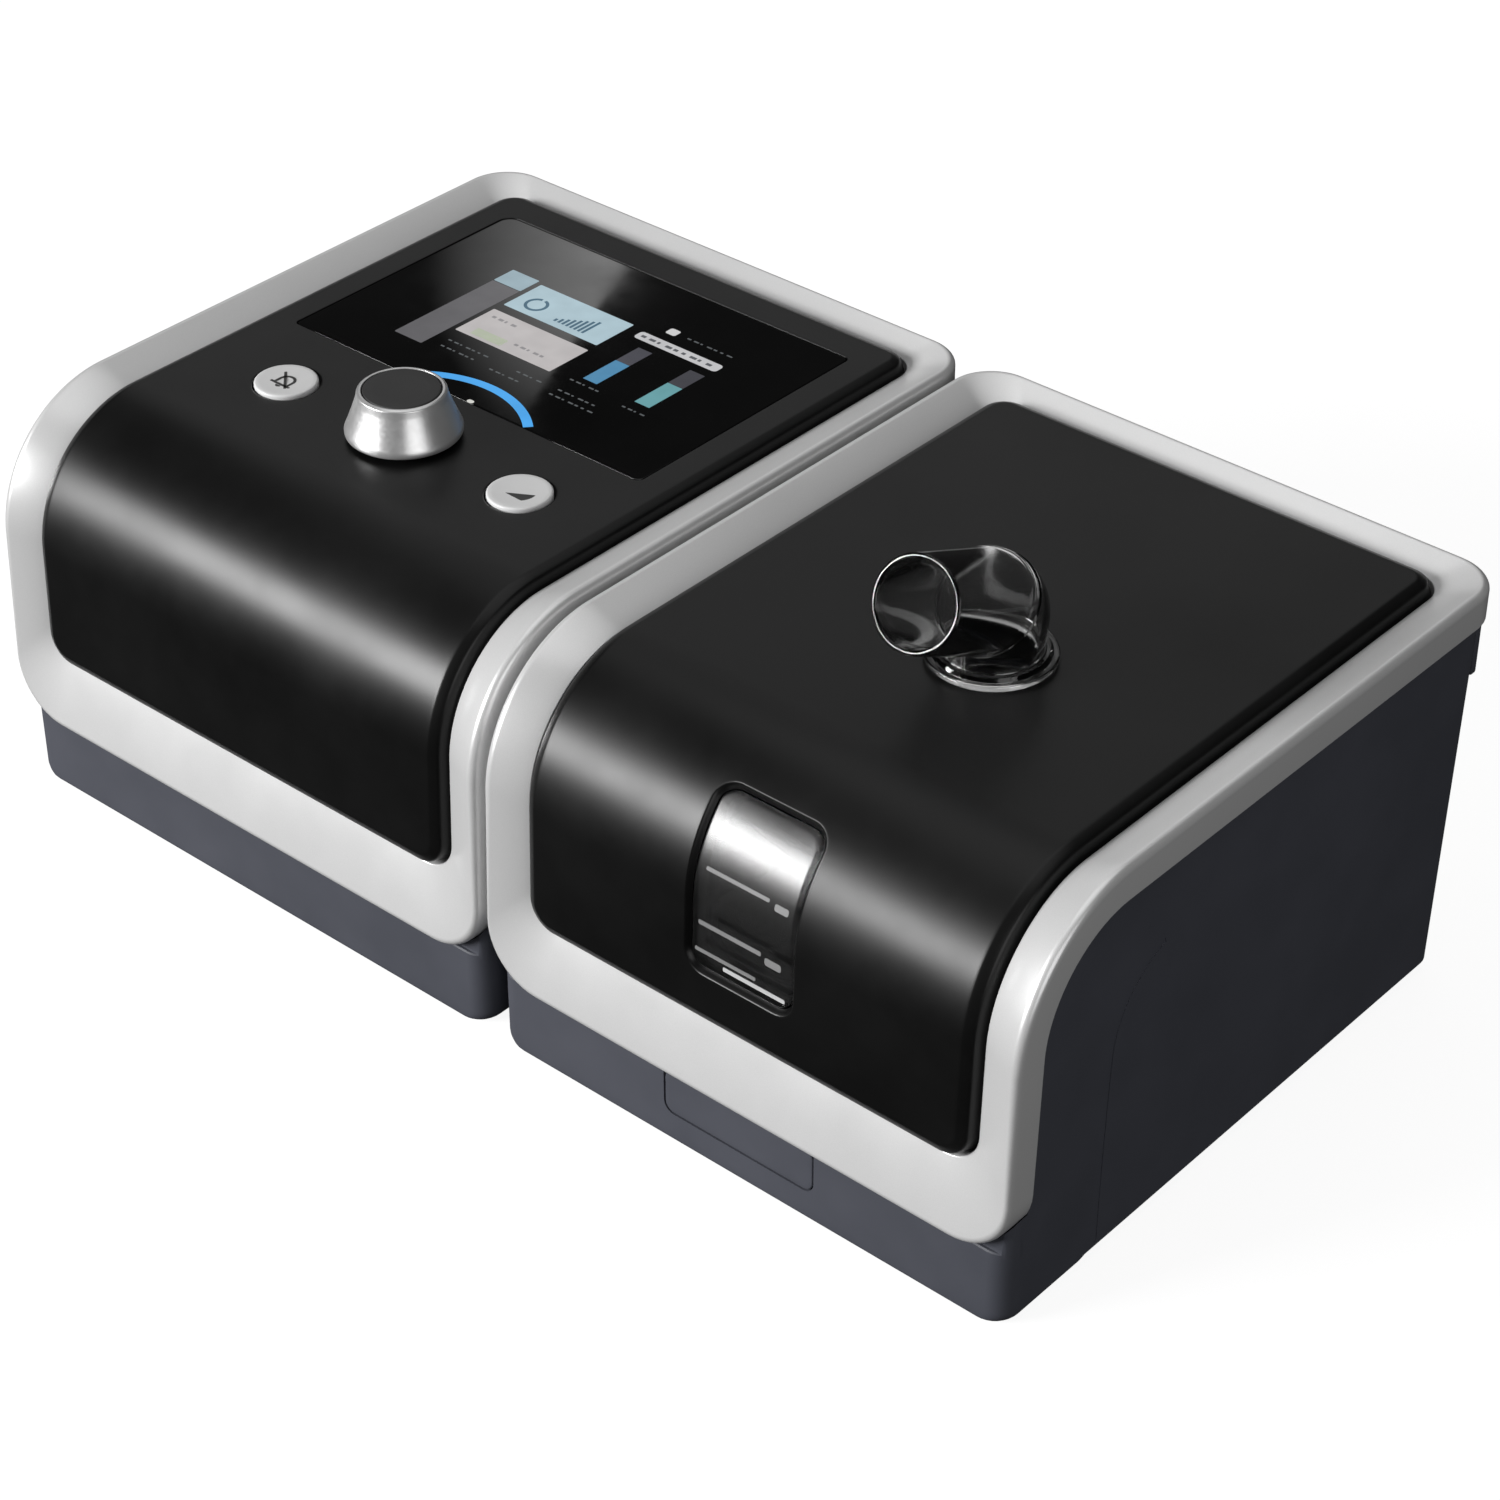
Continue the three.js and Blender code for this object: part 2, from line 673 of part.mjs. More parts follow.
const COVER_Z = TOP_Z + COVER.top; // the level field of both covers
const THROUGH_COVER = [TOP_Z - 15, TOP_Z + 5];
const KNOB_HOLE_R = 6.2;
const buttonHoleR = BUTTON.r + 0.4;
const buttonSpots = { mute: KNOB.x - BUTTON.dx, ramp: KNOB.x + BUTTON.dx };

add(
  "main_cover",
  cut(
    coverSolid(MAIN),
    plate(
      SCREEN.x0 - GAP,
      SCREEN.y0 - GAP,
      SCREEN.x1 + GAP,
      SCREEN.y1 + GAP,
      SCREEN.corner + GAP,
      ...THROUGH_COVER,
    ),
    post(KNOB.x, KNOB.y, ...THROUGH_COVER, KNOB_HOLE_R),
    ...Object.values(buttonSpots).map((x) => post(x, BUTTON.y, ...THROUGH_COVER, buttonHoleR, 20)),
  ),
  blackCover,
);
add(
  "screen_glass",
  plate(
    SCREEN.x0,
    SCREEN.y0,
    SCREEN.x1,
    SCREEN.y1,
    SCREEN.corner,
    COVER_Z - SCREEN.thick,
    COVER_Z - 0.05,
  ),
  glassBlack,
);

// ---------------------------------------------------------------- main unit: controls

const DISPLAY_TOP = COVER_Z - SCREEN.thick - GAP;
add(
  "display_module",
  plate(
    DISPLAY.x0,
    DISPLAY.y0,
    DISPLAY.x1,
    DISPLAY.y1,
    DISPLAY.corner,
    BOARD.z + DISPLAY.gapToBoard,
    DISPLAY_TOP,
  ),
  whitePlastic,
);

// The arc of light behind the knob: a curved bar under the glass.
const arcShape = new THREE.Shape();
const arcStart = Math.PI / 2 - LIGHT_ARC.halfAngle;
const arcEnd = Math.PI / 2 + LIGHT_ARC.halfAngle;
arcShape.absarc(0, 0, LIGHT_ARC.r + LIGHT_ARC.width / 2, arcStart, arcEnd, false);
arcShape.absarc(0, 0, LIGHT_ARC.r - LIGHT_ARC.width / 2, arcEnd, arcStart, true);
const arcBar = new THREE.ExtrudeGeometry(arcShape, {
  depth: LIGHT_ARC.depth,
  bevelEnabled: false,
  curveSegments: 9,
});
add(
  "light_guide",
  solid(arcBar.translate(KNOB.x, KNOB.y, DISPLAY_TOP - LIGHT_ARC.depth)),
  lightBlue,
);

const boardHoles = [BOARD.x0 + BOARD.holeInset, BOARD.x1 - BOARD.holeInset].flatMap((x) =>
  [BOARD.y0 + BOARD.holeInset, BOARD.y1 - BOARD.holeInset].map((y) =>
    post(x, y, BOARD.z - 1, BOARD.z + BOARD.thick + 1, BOARD.holeR, 10),
  ),
);
add(
  "control_board",
  cut(
    plate(BOARD.x0, BOARD.y0, BOARD.x1, BOARD.y1, 2, BOARD.z, BOARD.z + BOARD.thick),
    ...boardHoles,
  ),
  board,
);

const BOARD_TOP = BOARD.z + BOARD.thick + GAP;
const encoderFloor = BOARD_TOP + ENCODER.floor;
add(
  "encoder_body",
  cut(
    join(
      block(
        KNOB.x - ENCODER.half,
        KNOB.y - ENCODER.half,
        BOARD_TOP,
        KNOB.x + ENCODER.half,
        KNOB.y + ENCODER.half,
        BOARD_TOP + ENCODER.height,
      ),
      post(KNOB.x, KNOB.y, BOARD_TOP + ENCODER.floor, COVER_Z + 0.6, ENCODER.bushR),
    ),
    post(KNOB.x, KNOB.y, encoderFloor, TOP_Z + 1, ENCODER.shaftR + 0.1),
  ),
  steel,
);
const plungerZ = encoderFloor + KNOB.press + GAP;
const plungerTop = plungerZ + ENCODER.plunger;
add("encoder_plunger", post(KNOB.x, KNOB.y, plungerZ, plungerTop, ENCODER.shaftR), whitePlastic);
add(
  "encoder_shaft",
  post(KNOB.x, KNOB.y, plungerTop + GAP, COVER_Z + KNOB.height - KNOB.capRecess, ENCODER.shaftR),
  steel,
);

const knobZ = COVER_Z + 1;
add(
  "knob_body",
  turned(
    KNOB.x,
    KNOB.y,
    knobZ,
    [
      [KNOB.bottomR, 0],
      [KNOB.baseR - 0.5, 0],
      [KNOB.baseR, 0.6],
      [KNOB.baseR - 0.3, 2],
      [KNOB.baseR - 1.6, 5],
      [KNOB.topR + 1, 8.4],
      [KNOB.topR + 0.3, KNOB.height - 1.8],
      [KNOB.topR - 0.4, KNOB.height - 1],
      [KNOB.capR + GAP, KNOB.height - 1],
      [KNOB.capR + GAP, KNOB.height - KNOB.capRecess],
      [ENCODER.shaftR + GAP, KNOB.height - KNOB.capRecess],
      [ENCODER.shaftR + GAP, 3.4],
      [KNOB.bottomR, 3.4],
      [KNOB.bottomR, 0],
    ],
    24,
  ),
  silver,
);
add(
  "knob_cap",
  turned(
    KNOB.x,
    KNOB.y,
    knobZ + KNOB.height - KNOB.capRecess + GAP,
    [
      [0, 0],
      [KNOB.capR, 0],
      [KNOB.capR, 1],
      [KNOB.capR - 0.5, 1.4],
      [0, 1.2],
    ],
    20,
  ),
  blackCover,
);

for (const [name, x] of Object.entries(buttonSpots)) {
  const foot = COVER_Z - COVER.shell - 4.6;
  const rim = COVER_Z + BUTTON.rise - foot;
  add(
    name + "_button",
    turned(
      x,
      BUTTON.y,
      foot,
      [
        [0, 0],
        [BUTTON.stemR, 0],
        [BUTTON.stemR, BUTTON.stem],
        [BUTTON.r, BUTTON.stem],
        [BUTTON.r, rim - 0.4],
        [BUTTON.r - 0.5, rim],
        [0, rim - 0.3],
      ],
      20,
    ),
    buttonGrey,
  );
  const half = SWITCH_HALF;
  const switchTop = foot - BUTTON.travel - GAP;
  add(
    name + "_switch",
    block(x - half, BUTTON.y - half, BOARD_TOP, x + half, BUTTON.y + half, switchTop),
    rubber,
  );
}

// ---------------------------------------------------------------- main unit: air path

const B = BLOWER;
const spigot = (x0, x1, r, wall) =>
  cut(rodX(x0, x1, PORT.y, PORT.z, r, 24), rodX(x0 - 1, x1 + 1, PORT.y, PORT.z, r - wall, 24));
const throatR = PORT.r - 2;

add(
  "blower_isolator",
  cut(
    post(B.x, B.y, ISOLATOR.z, B.z - GAP, ISOLATOR.r, 24),
    post(B.x, B.y, ISOLATOR.z - 1, B.z, ISOLATOR.boreR, 24),
  ),
  rubber,
);
add(
  "blower_housing",
  cut(
    join(
      post(B.x, B.y, B.z, B.z + B.height, B.r, 24),
      rodX(B.x, B.x + B.r + 12, PORT.y, PORT.z, throatR, 24),
    ),
    post(B.x, B.y, B.z + B.wall, B.z + B.height + 1, B.r - B.wall, 24),
    rodX(B.x, B.x + B.r + 13, PORT.y, PORT.z, throatR - 1.6, 24),
  ),
  whitePlastic,
);
add(
  "blower_lid",
  turned(
    B.x,
    B.y,
    B.z + B.height + GAP,
    [
      [B.eyeR, 0],
      [B.r, 0],
      [B.r, B.wall],
      [B.collarR, B.wall],
      [B.collarR, B.collarHeight],
      [B.eyeR, B.collarHeight],
      [B.eyeR, 0],
    ],
    24,
  ),
  whitePlastic,
);
const statorBoreR = IMPELLER.shaftR + 1;
add(
  "blower_stator",
  turned(
    B.x,
    B.y,
    B.z + B.wall + GAP,
    [
      [statorBoreR, 0],
      [B.statorR, 0],
      [B.statorR, B.statorHeight],
      [statorBoreR, B.statorHeight],
      [statorBoreR, 0],
    ],
    16,
  ),
  copper,
);

// The impeller: a disc on the motor shaft, with curved blades under an open eye.
const discZ = B.z + IMPELLER.z;
const hub = turned(
  B.x,
  B.y,
  discZ - 10,
  [
    [0, 0],
    [IMPELLER.shaftR, 0],
    [IMPELLER.shaftR, 10],
    [IMPELLER.r, 10],
    [IMPELLER.r, 10 + IMPELLER.disc],
    [6, 10 + IMPELLER.disc],
    [4, 22],
    [0, 23],
  ],
  20,
);
function blade(turn) {
  const bladeShape = new THREE.Shape();
  bladeShape.absarc(20, 0, 17, Math.PI, 1.36 * Math.PI, false);
  bladeShape.absarc(20, 0, 15.8, 1.36 * Math.PI, Math.PI, true);
  const options = { depth: IMPELLER.bladeHeight, bevelEnabled: false, curveSegments: 3 };
  const geometry = new THREE.ExtrudeGeometry(bladeShape, options);
  return solid(geometry.rotateZ(turn).translate(B.x, B.y, discZ + 1));
}
const blades = Array.from({ length: IMPELLER.blades }, (_, i) =>
  blade((2 * Math.PI * i) / IMPELLER.blades),
);
add("impeller", join(hub, ...blades), whitePlastic);

add("outlet_duct", spigot(B.x + B.r + 2, MAIN.x1 + PORT.reach, PORT.r, PORT.wall), blackCover);

const filterBack = BASE.backTopY - WALL;
const besideFilter = (y0, y1) =>
  block(
    FILTER.x - FOAM.half,
    y0,
    FILTER.z - FOAM.halfHeight,
    FILTER.x + FOAM.half,
    y1,
    FILTER.z + FOAM.halfHeight,
  );
add("muffler_foam", besideFilter(FOAM.y0, FOAM.y1), foam);
add("inlet_filter", besideFilter(FOAM.filterY, filterBack - FOAM.filterGap), whitePlastic);
const grille = Array.from({ length: GRILLE.slots }, (_, i) => {
  const z = FILTER.z + (i - (GRILLE.slots - 1) / 2) * GRILLE.pitch;
  const front = filterBack - WALL_REACH;
  return block(
    FILTER.x - GRILLE.half,
    front,
    z - GRILLE.slotHalf,
    FILTER.x + GRILLE.half,
    DEPTH / 2,
    z + GRILLE.slotHalf,
  );
});
add(
  "filter_cover",
  cut(
    plate(
      FILTER.x - FILTER.width / 2 + GAP,
      -FILTER.z - FILTER.height / 2 + GAP,
      FILTER.x + FILTER.width / 2 - GAP,
      -FILTER.z + FILTER.height / 2 - GAP,
      FILTER.corner,
      filterBack + 1 - FILTER.thick,
      filterBack + 1,
    ).rotate([-90, 0, 0]),
    ...grille,
  ),
  slate,
);

// ---------------------------------------------------------------- main unit: sockets

const powerBack = BASE.backBottomY + 0.4;
const boreEnd = powerBack - POWER.bore;
add(
  "power_inlet",
  cut(
    block(
      POWER.x - POWER.size / 2,
      powerBack - POWER.depth,
      POWER.z - POWER.size / 2,
      POWER.x + POWER.size / 2,
      powerBack,
      POWER.z + POWER.size / 2,
    ),
    cut(
      rodY(POWER.x, boreEnd, powerBack + 1, POWER.z, POWER.boreR, 20),
      rodY(POWER.x, boreEnd - 1, boreEnd + POWER.pin, POWER.z, POWER.pinR, 12),
    ),
  ),
  blackCover,
);

const cardX = MAIN.x0 + BASE.inset - SD_CARD.proud;
add(
  "sd_card",
  block(
    cardX,
    SD_CARD.y - SD_CARD.width / 2,
    SD_CARD.z - SD_CARD.thick / 2,
    cardX + SD_CARD.depth,
    SD_CARD.y + SD_CARD.width / 2,
    SD_CARD.z + SD_CARD.thick / 2,
  ),
  blackCover,
);
const aroundCard = (x0, x1, half, halfHeight) =>
  block(x0, SD_CARD.y - half, SD_CARD.z - halfHeight, x1, SD_CARD.y + half, SD_CARD.z + halfHeight);
const socketX = cardX + SD_SOCKET.x;
add(
  "sd_socket",
  cut(
    aroundCard(socketX, socketX + SD_SOCKET.length, SD_SOCKET.half, SD_SOCKET.halfHeight),
    aroundCard(cardX, cardX + SD_SLOT.x, SD_SLOT.half, SD_SLOT.halfHeight),
  ),
  steel,
);
const insidePlug = (x0, x1, by) =>
  block(x0, PLUG.y0 + by, PLUG.z0 + by, x1, PLUG.y1 - by, PLUG.z1 - by);
add(
  "dock_plug",
  join(
    insidePlug(MAIN.x1 - 14, MAIN.x1 - 0.4, 0),
    insidePlug(MAIN.x1 - 1, MAIN.x1 + 8, PLUG.nose),
  ),
  blackCover,
);

// ---------------------------------------------------------------- humidifier: base

const H = HUMIDIFIER;
const C = CHAMBER;
const chamberX0 = H.middle - C.width / 2;
const chamberX1 = H.middle + C.width / 2;
const chamberY0 = C.y - C.depth / 2;
const chamberY1 = C.y + C.depth / 2;

const springY = BASE.frontY + TAB.reach + TAB.travel + GAP;
const seatY = springY + SPRING.length + GAP;
const springSeat = block(
  H.middle - SPRING.seatHalf,
  seatY,
  BASE.floorZ,
  H.middle + SPRING.seatHalf,
  seatY + SPRING.seat,
  SPRING.seatTop,
);
const tabHole = block(
  TAB.x0 - GAP,
  BASE.frontY - 1,
  TAB.z0 - GAP,
  TAB.x1 + GAP,
  BASE.frontY + WALL + 4,
  SKIN.frontZ,
);
const hingeSpots = [H.middle - HINGE.spread, H.middle + HINGE.spread];
const ears = hingeSpots.map((x) =>
  block(
    x - EAR.half,
    BASE.backBottomY,
    HINGE.z - EAR.drop,
    x + EAR.half,
    HINGE.y + EAR.back,
    HINGE.z + EAR.top,
  ),
);
const pinHoles = hingeSpots.map((x) =>
  rodX(
    x - HINGE.length / 2 - 1,
    x + HINGE.length / 2 + 1,
    HINGE.y,
    HINGE.z,
    HINGE.r + HINGE.play,
    16,
  ),
);
// Room behind and over the back wall for the lid's skirt, bridge and knuckles.
const skirtRoom = block(H.x0, SKIRT.y - SKIRT.room, SKIRT.z0 - 0.6, H.x1, DEPTH, TOP_Z);
const bridgeRoom = block(
  H.x0 + BRIDGE.roomInset,
  BRIDGE.roomY,
  TOP_Z + FRAME_SEAT - LINER.thick - 0.6,
  H.x1 - BRIDGE.roomInset,
  DEPTH,
  TOP_Z,
);
const knuckleRooms = hingeSpots.map((x) => {
  const half = KNUCKLE.offset + KNUCKLE.half + 0.8;
  const reach = KNUCKLE.r + KNUCKLE.room;
  return block(x - half, HINGE.y - reach, HINGE.z - reach, x + half, DEPTH, TOP_Z);
});

add(
  "humidifier_base",
  cut(
    join(cut(baseShell(H), skirtRoom, bridgeRoom, ...knuckleRooms), ...ears, springSeat),
    ...pinHoles,
    ...frontFootPockets(H),
    ...H.screws.map(screwHole),
    tabHole,
    rodX(H.x0 - 1, H.x0 + WALL_REACH, PORT.y, PORT.z, portHole + 1, 24),
    plugHole(H.x0 - 1, H.x0 + WALL_REACH),
  ),
  slate,
);
addUnderside("humidifier", H);

const plugRoom = PLUG.nose - 0.4;
add(
  "dock_socket",
  cut(
    block(H.x0 + 1.4, PLUG.y0, PLUG.z0, H.x0 + 13, PLUG.y1, PLUG.z1),
    insidePlug(H.x0, H.x0 + 8, plugRoom),
  ),
  blackCover,
);

// An upright plate under the water chamber, drawn in from its outline.
const underChamber = (inset, z0, z1) =>
  plate(
    chamberX0 + inset,
    chamberY0 + inset,
    chamberX1 - inset,
    chamberY1 - inset,
    C.corner - inset,
    z0,
    z1,
  );
add(
  "heater_insulator",
  underChamber(INSULATOR.inset, INSULATOR.z0, INSULATOR.z1),
  whitePlastic,
);
add("heater_plate", underChamber(HEATER.inset, HEATER.z, C.z - HEATER.gap), steel);
add(
  "release_tab",
  join(
    plate(
      TAB.x0,
      -TAB.z1,
      TAB.x1,
      -TAB.z0,
      TAB.corner,
      BASE.frontY,
      BASE.frontY + TAB.thick,
    ).rotate([-90, 0, 0]),
    block(
      H.middle - TAB_BOSS.half,
      BASE.frontY + TAB.thick - 0.2,
      TAB_BOSS.z0,
      H.middle + TAB_BOSS.half,
      BASE.frontY + TAB.reach,
      TAB_BOSS.z1,
    ),
  ),
  slate,
);
const springTube = turned(
  0,
  0,
  0,
  [
    [SPRING.r - SPRING.wall, 0],
    [SPRING.r, 0],
    [SPRING.r, SPRING.length],
    [SPRING.r - SPRING.wall, SPRING.length],
    [SPRING.r - SPRING.wall, 0],
  ],
  16,
);
add(
  "tab_spring",
  springTube.rotate([-90, 0, 0]).translate([H.middle, springY, SPRING.z]),
  steel,
);

// ---------------------------------------------------------------- humidifier: water chamber

const plateTop = C.z - GAP;
add(
  "chamber_plate",
  underChamber(CHAMBER_PLATE.inset, plateTop - CHAMBER_PLATE.thick, plateTop),
  steel,
);
const chamberTop = C.z + C.height;
const collarTop = TOP_Z - COLLAR_DROP;
add(
  "water_chamber",
  cut(
    join(
      plate(chamberX0, chamberY0, chamberX1, chamberY1, C.corner, C.z, chamberTop, 8),
      post(ELBOW.x, ELBOW.y, chamberTop - 1, collarTop, ELBOW.r, 20),
    ),
    plate(
      chamberX0 + C.wall,
      chamberY0 + C.wall,
      chamberX1 - C.wall,
      chamberY1 - C.wall,
      C.corner - C.wall,
      C.z - 1,
      chamberTop - C.wall,
      8,
    ),
    post(ELBOW.x, ELBOW.y, C.z, collarTop + 1, ELBOW.boreR, 20),
    rodX(chamberX0 - 1, chamberX0 + 5, PORT.y, INLET.z, INLET.r, 20),
  ),
  clear,
);
// A flat riser carries the air from the docking port up to the chamber's side inlet.
const riserX0 = H.x0 + RISER.wallGap;
const riserX1 = chamberX0 - RISER.chamberGap;
const riserBlock = (by) =>
  block(
    riserX0 + by,
    PORT.y - RISER.half + by,
    RISER.z0 + by,
    riserX1 - by,
    PORT.y + RISER.half - by,
    RISER.z1 - by,
  );
add(
  "inlet_riser",
  cut(
    riserBlock(0),
    riserBlock(RISER.wall),
    rodX(riserX0 - 1, riserX0 + 3, PORT.y, PORT.z, portHole, 24),
    rodX(riserX1 - 3, riserX1 + 1, PORT.y, INLET.z, INLET.r, 20),
  ),
  blackCover,
);
add(
  "inlet_gasket",
  cut(
    rodX(H.x0 + 1.2, H.x0 + 4.4, PORT.y, PORT.z, PORT.r + 1, 24),
    rodX(H.x0, H.x0 + 6, PORT.y, PORT.z, portHole, 24),
  ),
  rubber,
);

// ---------------------------------------------------------------- humidifier: lid

add("lid_frame", frameSolid(H), silver);

const elbowHole = post(ELBOW.x, ELBOW.y, ...THROUGH_COVER, ELBOW.r + GAP, 20);
const windowArea = { ...WINDOW, rFront: WINDOW.corner, rBack: WINDOW.corner };
const windowCutter = skinPlate(windowArea, [
  { inset: 0, h: 4 },
  { inset: 0, h: -12 },
]);
add("lid_cover", cut(coverSolid(H), windowCutter, elbowHole), blackCover);
add(
  "level_window",
  skinPlate(grown(windowArea, -GAP), [
    { inset: 0.5, h: COVER.top - 0.4 },
    { inset: 0, h: COVER.top - 0.9 },
    { inset: 0, h: COVER.top - 2.4 },
  ]),
  clear,
);

// The liner hangs under the cover and carries the skirt and the hinge knuckles.
const linerArea = {
  x0: H.x0 + LINER.inset,
  x1: H.x1 - LINER.inset,
  s0: LINER.s0,
  s1: SKIN_LENGTH - LINER.back,
  rFront: LINER.corner,
  rBack: LINER.corner,
};
const linerTop = TOP_Z + FRAME_SEAT;
const skirt = block(
  H.x0 + SKIRT.inset,
  SKIRT.y,
  SKIRT.z0,
  H.x1 - SKIRT.inset,
  SKIRT.y + SKIRT.thick,
  linerTop,
);
const bridge = block(
  H.x0 + BRIDGE.inset,
  BRIDGE.y,
  linerTop - LINER.thick,
  H.x1 - BRIDGE.inset,
  SKIRT.y + 1,
  linerTop,
);
// Notches let the skirt swing past the base's ears.
const earRooms = hingeSpots.map((x) => {
  const half = EAR.half + 0.4;
  return block(x - half, SKIRT.y - 1, SKIRT.z0 - 1, x + half, DEPTH, HINGE.z + 4.6);
});
const knuckles = hingeSpots
  .flatMap((x) => [x - KNUCKLE.offset, x + KNUCKLE.offset])
  .map((x) =>
    block(
      x - KNUCKLE.half,
      HINGE.y - KNUCKLE.r,
      HINGE.z - KNUCKLE.r,
      x + KNUCKLE.half,
      HINGE.y + KNUCKLE.r,
      SKIRT.z0 + 1,
    ),
  );
add(
  "lid_liner",
  cut(
    join(
      skinPlate(linerArea, [
        { inset: 0, h: FRAME_SEAT },
        { inset: 0, h: FRAME_SEAT - LINER.thick },
      ]),
      skirt,
      bridge,
      ...knuckles,
    ),
    windowCutter,
    ...pinHoles,
    ...earRooms,
    elbowHole,
  ),
  slate,
);
["left", "right"].forEach((side, i) => {
  const x0 = hingeSpots[i] - HINGE.length / 2;
  add(`hinge_pin_${side}`, rodX(x0, x0 + HINGE.length, HINGE.y, HINGE.z, HINGE.r), steel);
});
const gasketZ = collarTop + GASKET.gap;
add(
  "outlet_gasket",
  cut(
    post(ELBOW.x, ELBOW.y, gasketZ, gasketZ + GASKET.height, ELBOW.r + GASKET.width, 20),
    post(ELBOW.x, ELBOW.y, collarTop - 1, TOP_Z, ELBOW.boreR, 20),
  ),
  rubber,
);

// ---------------------------------------------------------------- elbow

const elbowFoot = gasketZ + GASKET.height + GAP;
const elbowCorner = new THREE.Vector3(ELBOW.x, ELBOW.y, COVER_Z + ELBOW.bendHeight);

// Two runs that meet in a ball: the upright one, and the outlet, which tapers to its mouth.
function elbowForm(r, mouthR, extra) {
  const run = ELBOW.reach + extra;
  const middle = elbowCorner.clone().addScaledVector(ELBOW.axis, run / 2);
  const lean = new THREE.Quaternion().setFromUnitVectors(new THREE.Vector3(0, 1, 0), ELBOW.axis);
  const outlet = new THREE.CylinderGeometry(mouthR, r, run, 22).applyQuaternion(lean);
  const ball = new THREE.SphereGeometry(r, 22, 12).rotateX(Math.PI / 2);
  return join(
    post(ELBOW.x, ELBOW.y, elbowFoot - extra, elbowCorner.z, r, 22),
    solid(outlet.translate(middle.x, middle.y, middle.z)),
    solid(ball.translate(elbowCorner.x, elbowCorner.y, elbowCorner.z)),
  );
}
const flangeZ = COVER_Z + GAP;
add(
  "elbow",
  cut(
    join(
      elbowForm(ELBOW.r, ELBOW.mouthR, 0),
      post(ELBOW.x, ELBOW.y, flangeZ, flangeZ + ELBOW.flangeHeight, ELBOW.flangeR, 24),
    ),
    elbowForm(ELBOW.boreR, ELBOW.mouthBoreR, 1),
  ),
  clear,
);

export default ventilator;
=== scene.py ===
"""Looks of a bedside ventilator with a docked heated humidifier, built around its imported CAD.

Lengths are millimetres in the CAD's own frame (front towards -Y, +Z up) and become metres
when a mesh is made.
"""
import json
import math

import bmesh
import bpy
from mathutils import Matrix, Quaternion, Vector
from mathutils.geometry import delaunay_2d_cdt


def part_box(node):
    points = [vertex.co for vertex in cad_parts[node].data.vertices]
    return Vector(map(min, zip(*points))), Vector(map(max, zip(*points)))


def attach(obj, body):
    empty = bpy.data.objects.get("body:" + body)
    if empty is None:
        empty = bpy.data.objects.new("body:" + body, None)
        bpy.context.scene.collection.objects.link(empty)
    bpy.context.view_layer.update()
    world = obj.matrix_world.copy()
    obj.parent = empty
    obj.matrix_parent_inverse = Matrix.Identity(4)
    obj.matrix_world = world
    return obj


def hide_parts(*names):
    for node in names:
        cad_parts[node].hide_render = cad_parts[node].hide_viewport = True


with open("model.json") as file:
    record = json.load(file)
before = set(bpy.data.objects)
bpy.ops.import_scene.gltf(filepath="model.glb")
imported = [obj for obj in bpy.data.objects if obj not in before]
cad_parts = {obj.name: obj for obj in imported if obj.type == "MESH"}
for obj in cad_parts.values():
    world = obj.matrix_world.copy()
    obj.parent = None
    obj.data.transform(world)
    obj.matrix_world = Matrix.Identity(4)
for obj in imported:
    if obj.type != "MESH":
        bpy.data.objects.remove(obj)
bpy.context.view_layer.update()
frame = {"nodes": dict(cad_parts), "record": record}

MM = 0.001


def box_mm(node):
    """The lowest and highest corners of a CAD node, in millimetres."""
    low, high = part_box(node)
    return low / MM, high / MM


def middle_of(node):
    low, high = box_mm(node)
    return (low + high) / 2


# -------- sizes taken from the CAD

main_low, main_high = box_mm("main_frame")
lid_low, lid_high = box_mm("lid_frame")
TOP_Z = main_high.z + 0.05  # crest of the silver frames
BACK_Y = main_high.y
MAIN = (main_low.x, main_high.x)
HUMIDIFIER = (lid_low.x, lid_high.x)
COVER_TOP = -0.5  # the black covers' level field, off the skin
COVER_BOTTOM = -6.4
COVER_Z = TOP_Z + COVER_TOP

# -------- the curved skin

SKIN_RADIUS = 32.5
SKIN_LEAN = math.radians(2)
FRONT_Z = 19.5
CENTRE_Z = TOP_Z - SKIN_RADIUS
TANGENT_Z = CENTRE_Z + SKIN_RADIUS * math.sin(SKIN_LEAN)
RISE = (TANGENT_Z - FRONT_Z) / math.cos(SKIN_LEAN)
CENTRE_Y = -BACK_Y + RISE * math.sin(SKIN_LEAN) + SKIN_RADIUS * math.cos(SKIN_LEAN)
ARC = SKIN_RADIUS * (math.pi / 2 - SKIN_LEAN)
SKIN_LENGTH = RISE + ARC + BACK_Y - CENTRE_Y
BEND_STEPS = 40
BEND = [RISE + ARC * i / BEND_STEPS for i in range(BEND_STEPS + 1)]


def skin_point(x, s, h):
    """The point at distance s up and over the skin and height h off it."""
    lift = SKIN_RADIUS + h
    if s < RISE:
        below = s - RISE
        y = CENTRE_Y - lift * math.cos(SKIN_LEAN) + below * math.sin(SKIN_LEAN)
        return Vector((x, y, CENTRE_Z + lift * math.sin(SKIN_LEAN) + below * math.cos(SKIN_LEAN)))
    if s < RISE + ARC:
        angle = SKIN_LEAN + (s - RISE) / SKIN_RADIUS
        return Vector((x, CENTRE_Y - lift * math.cos(angle), CENTRE_Z + lift * math.sin(angle)))
    return Vector((x, CENTRE_Y + s - RISE - ARC, CENTRE_Z + lift))


def skin_distance(y):
    """Distance along the skin of a point on its level top."""
    return RISE + ARC + y - CENTRE_Y


def bend_between(start, end):
    """The stations of the bend that lie between two distances along the skin."""
    return [s for s in BEND if start < s < end]


# -------- mesh helpers

MERGE = 1e-7


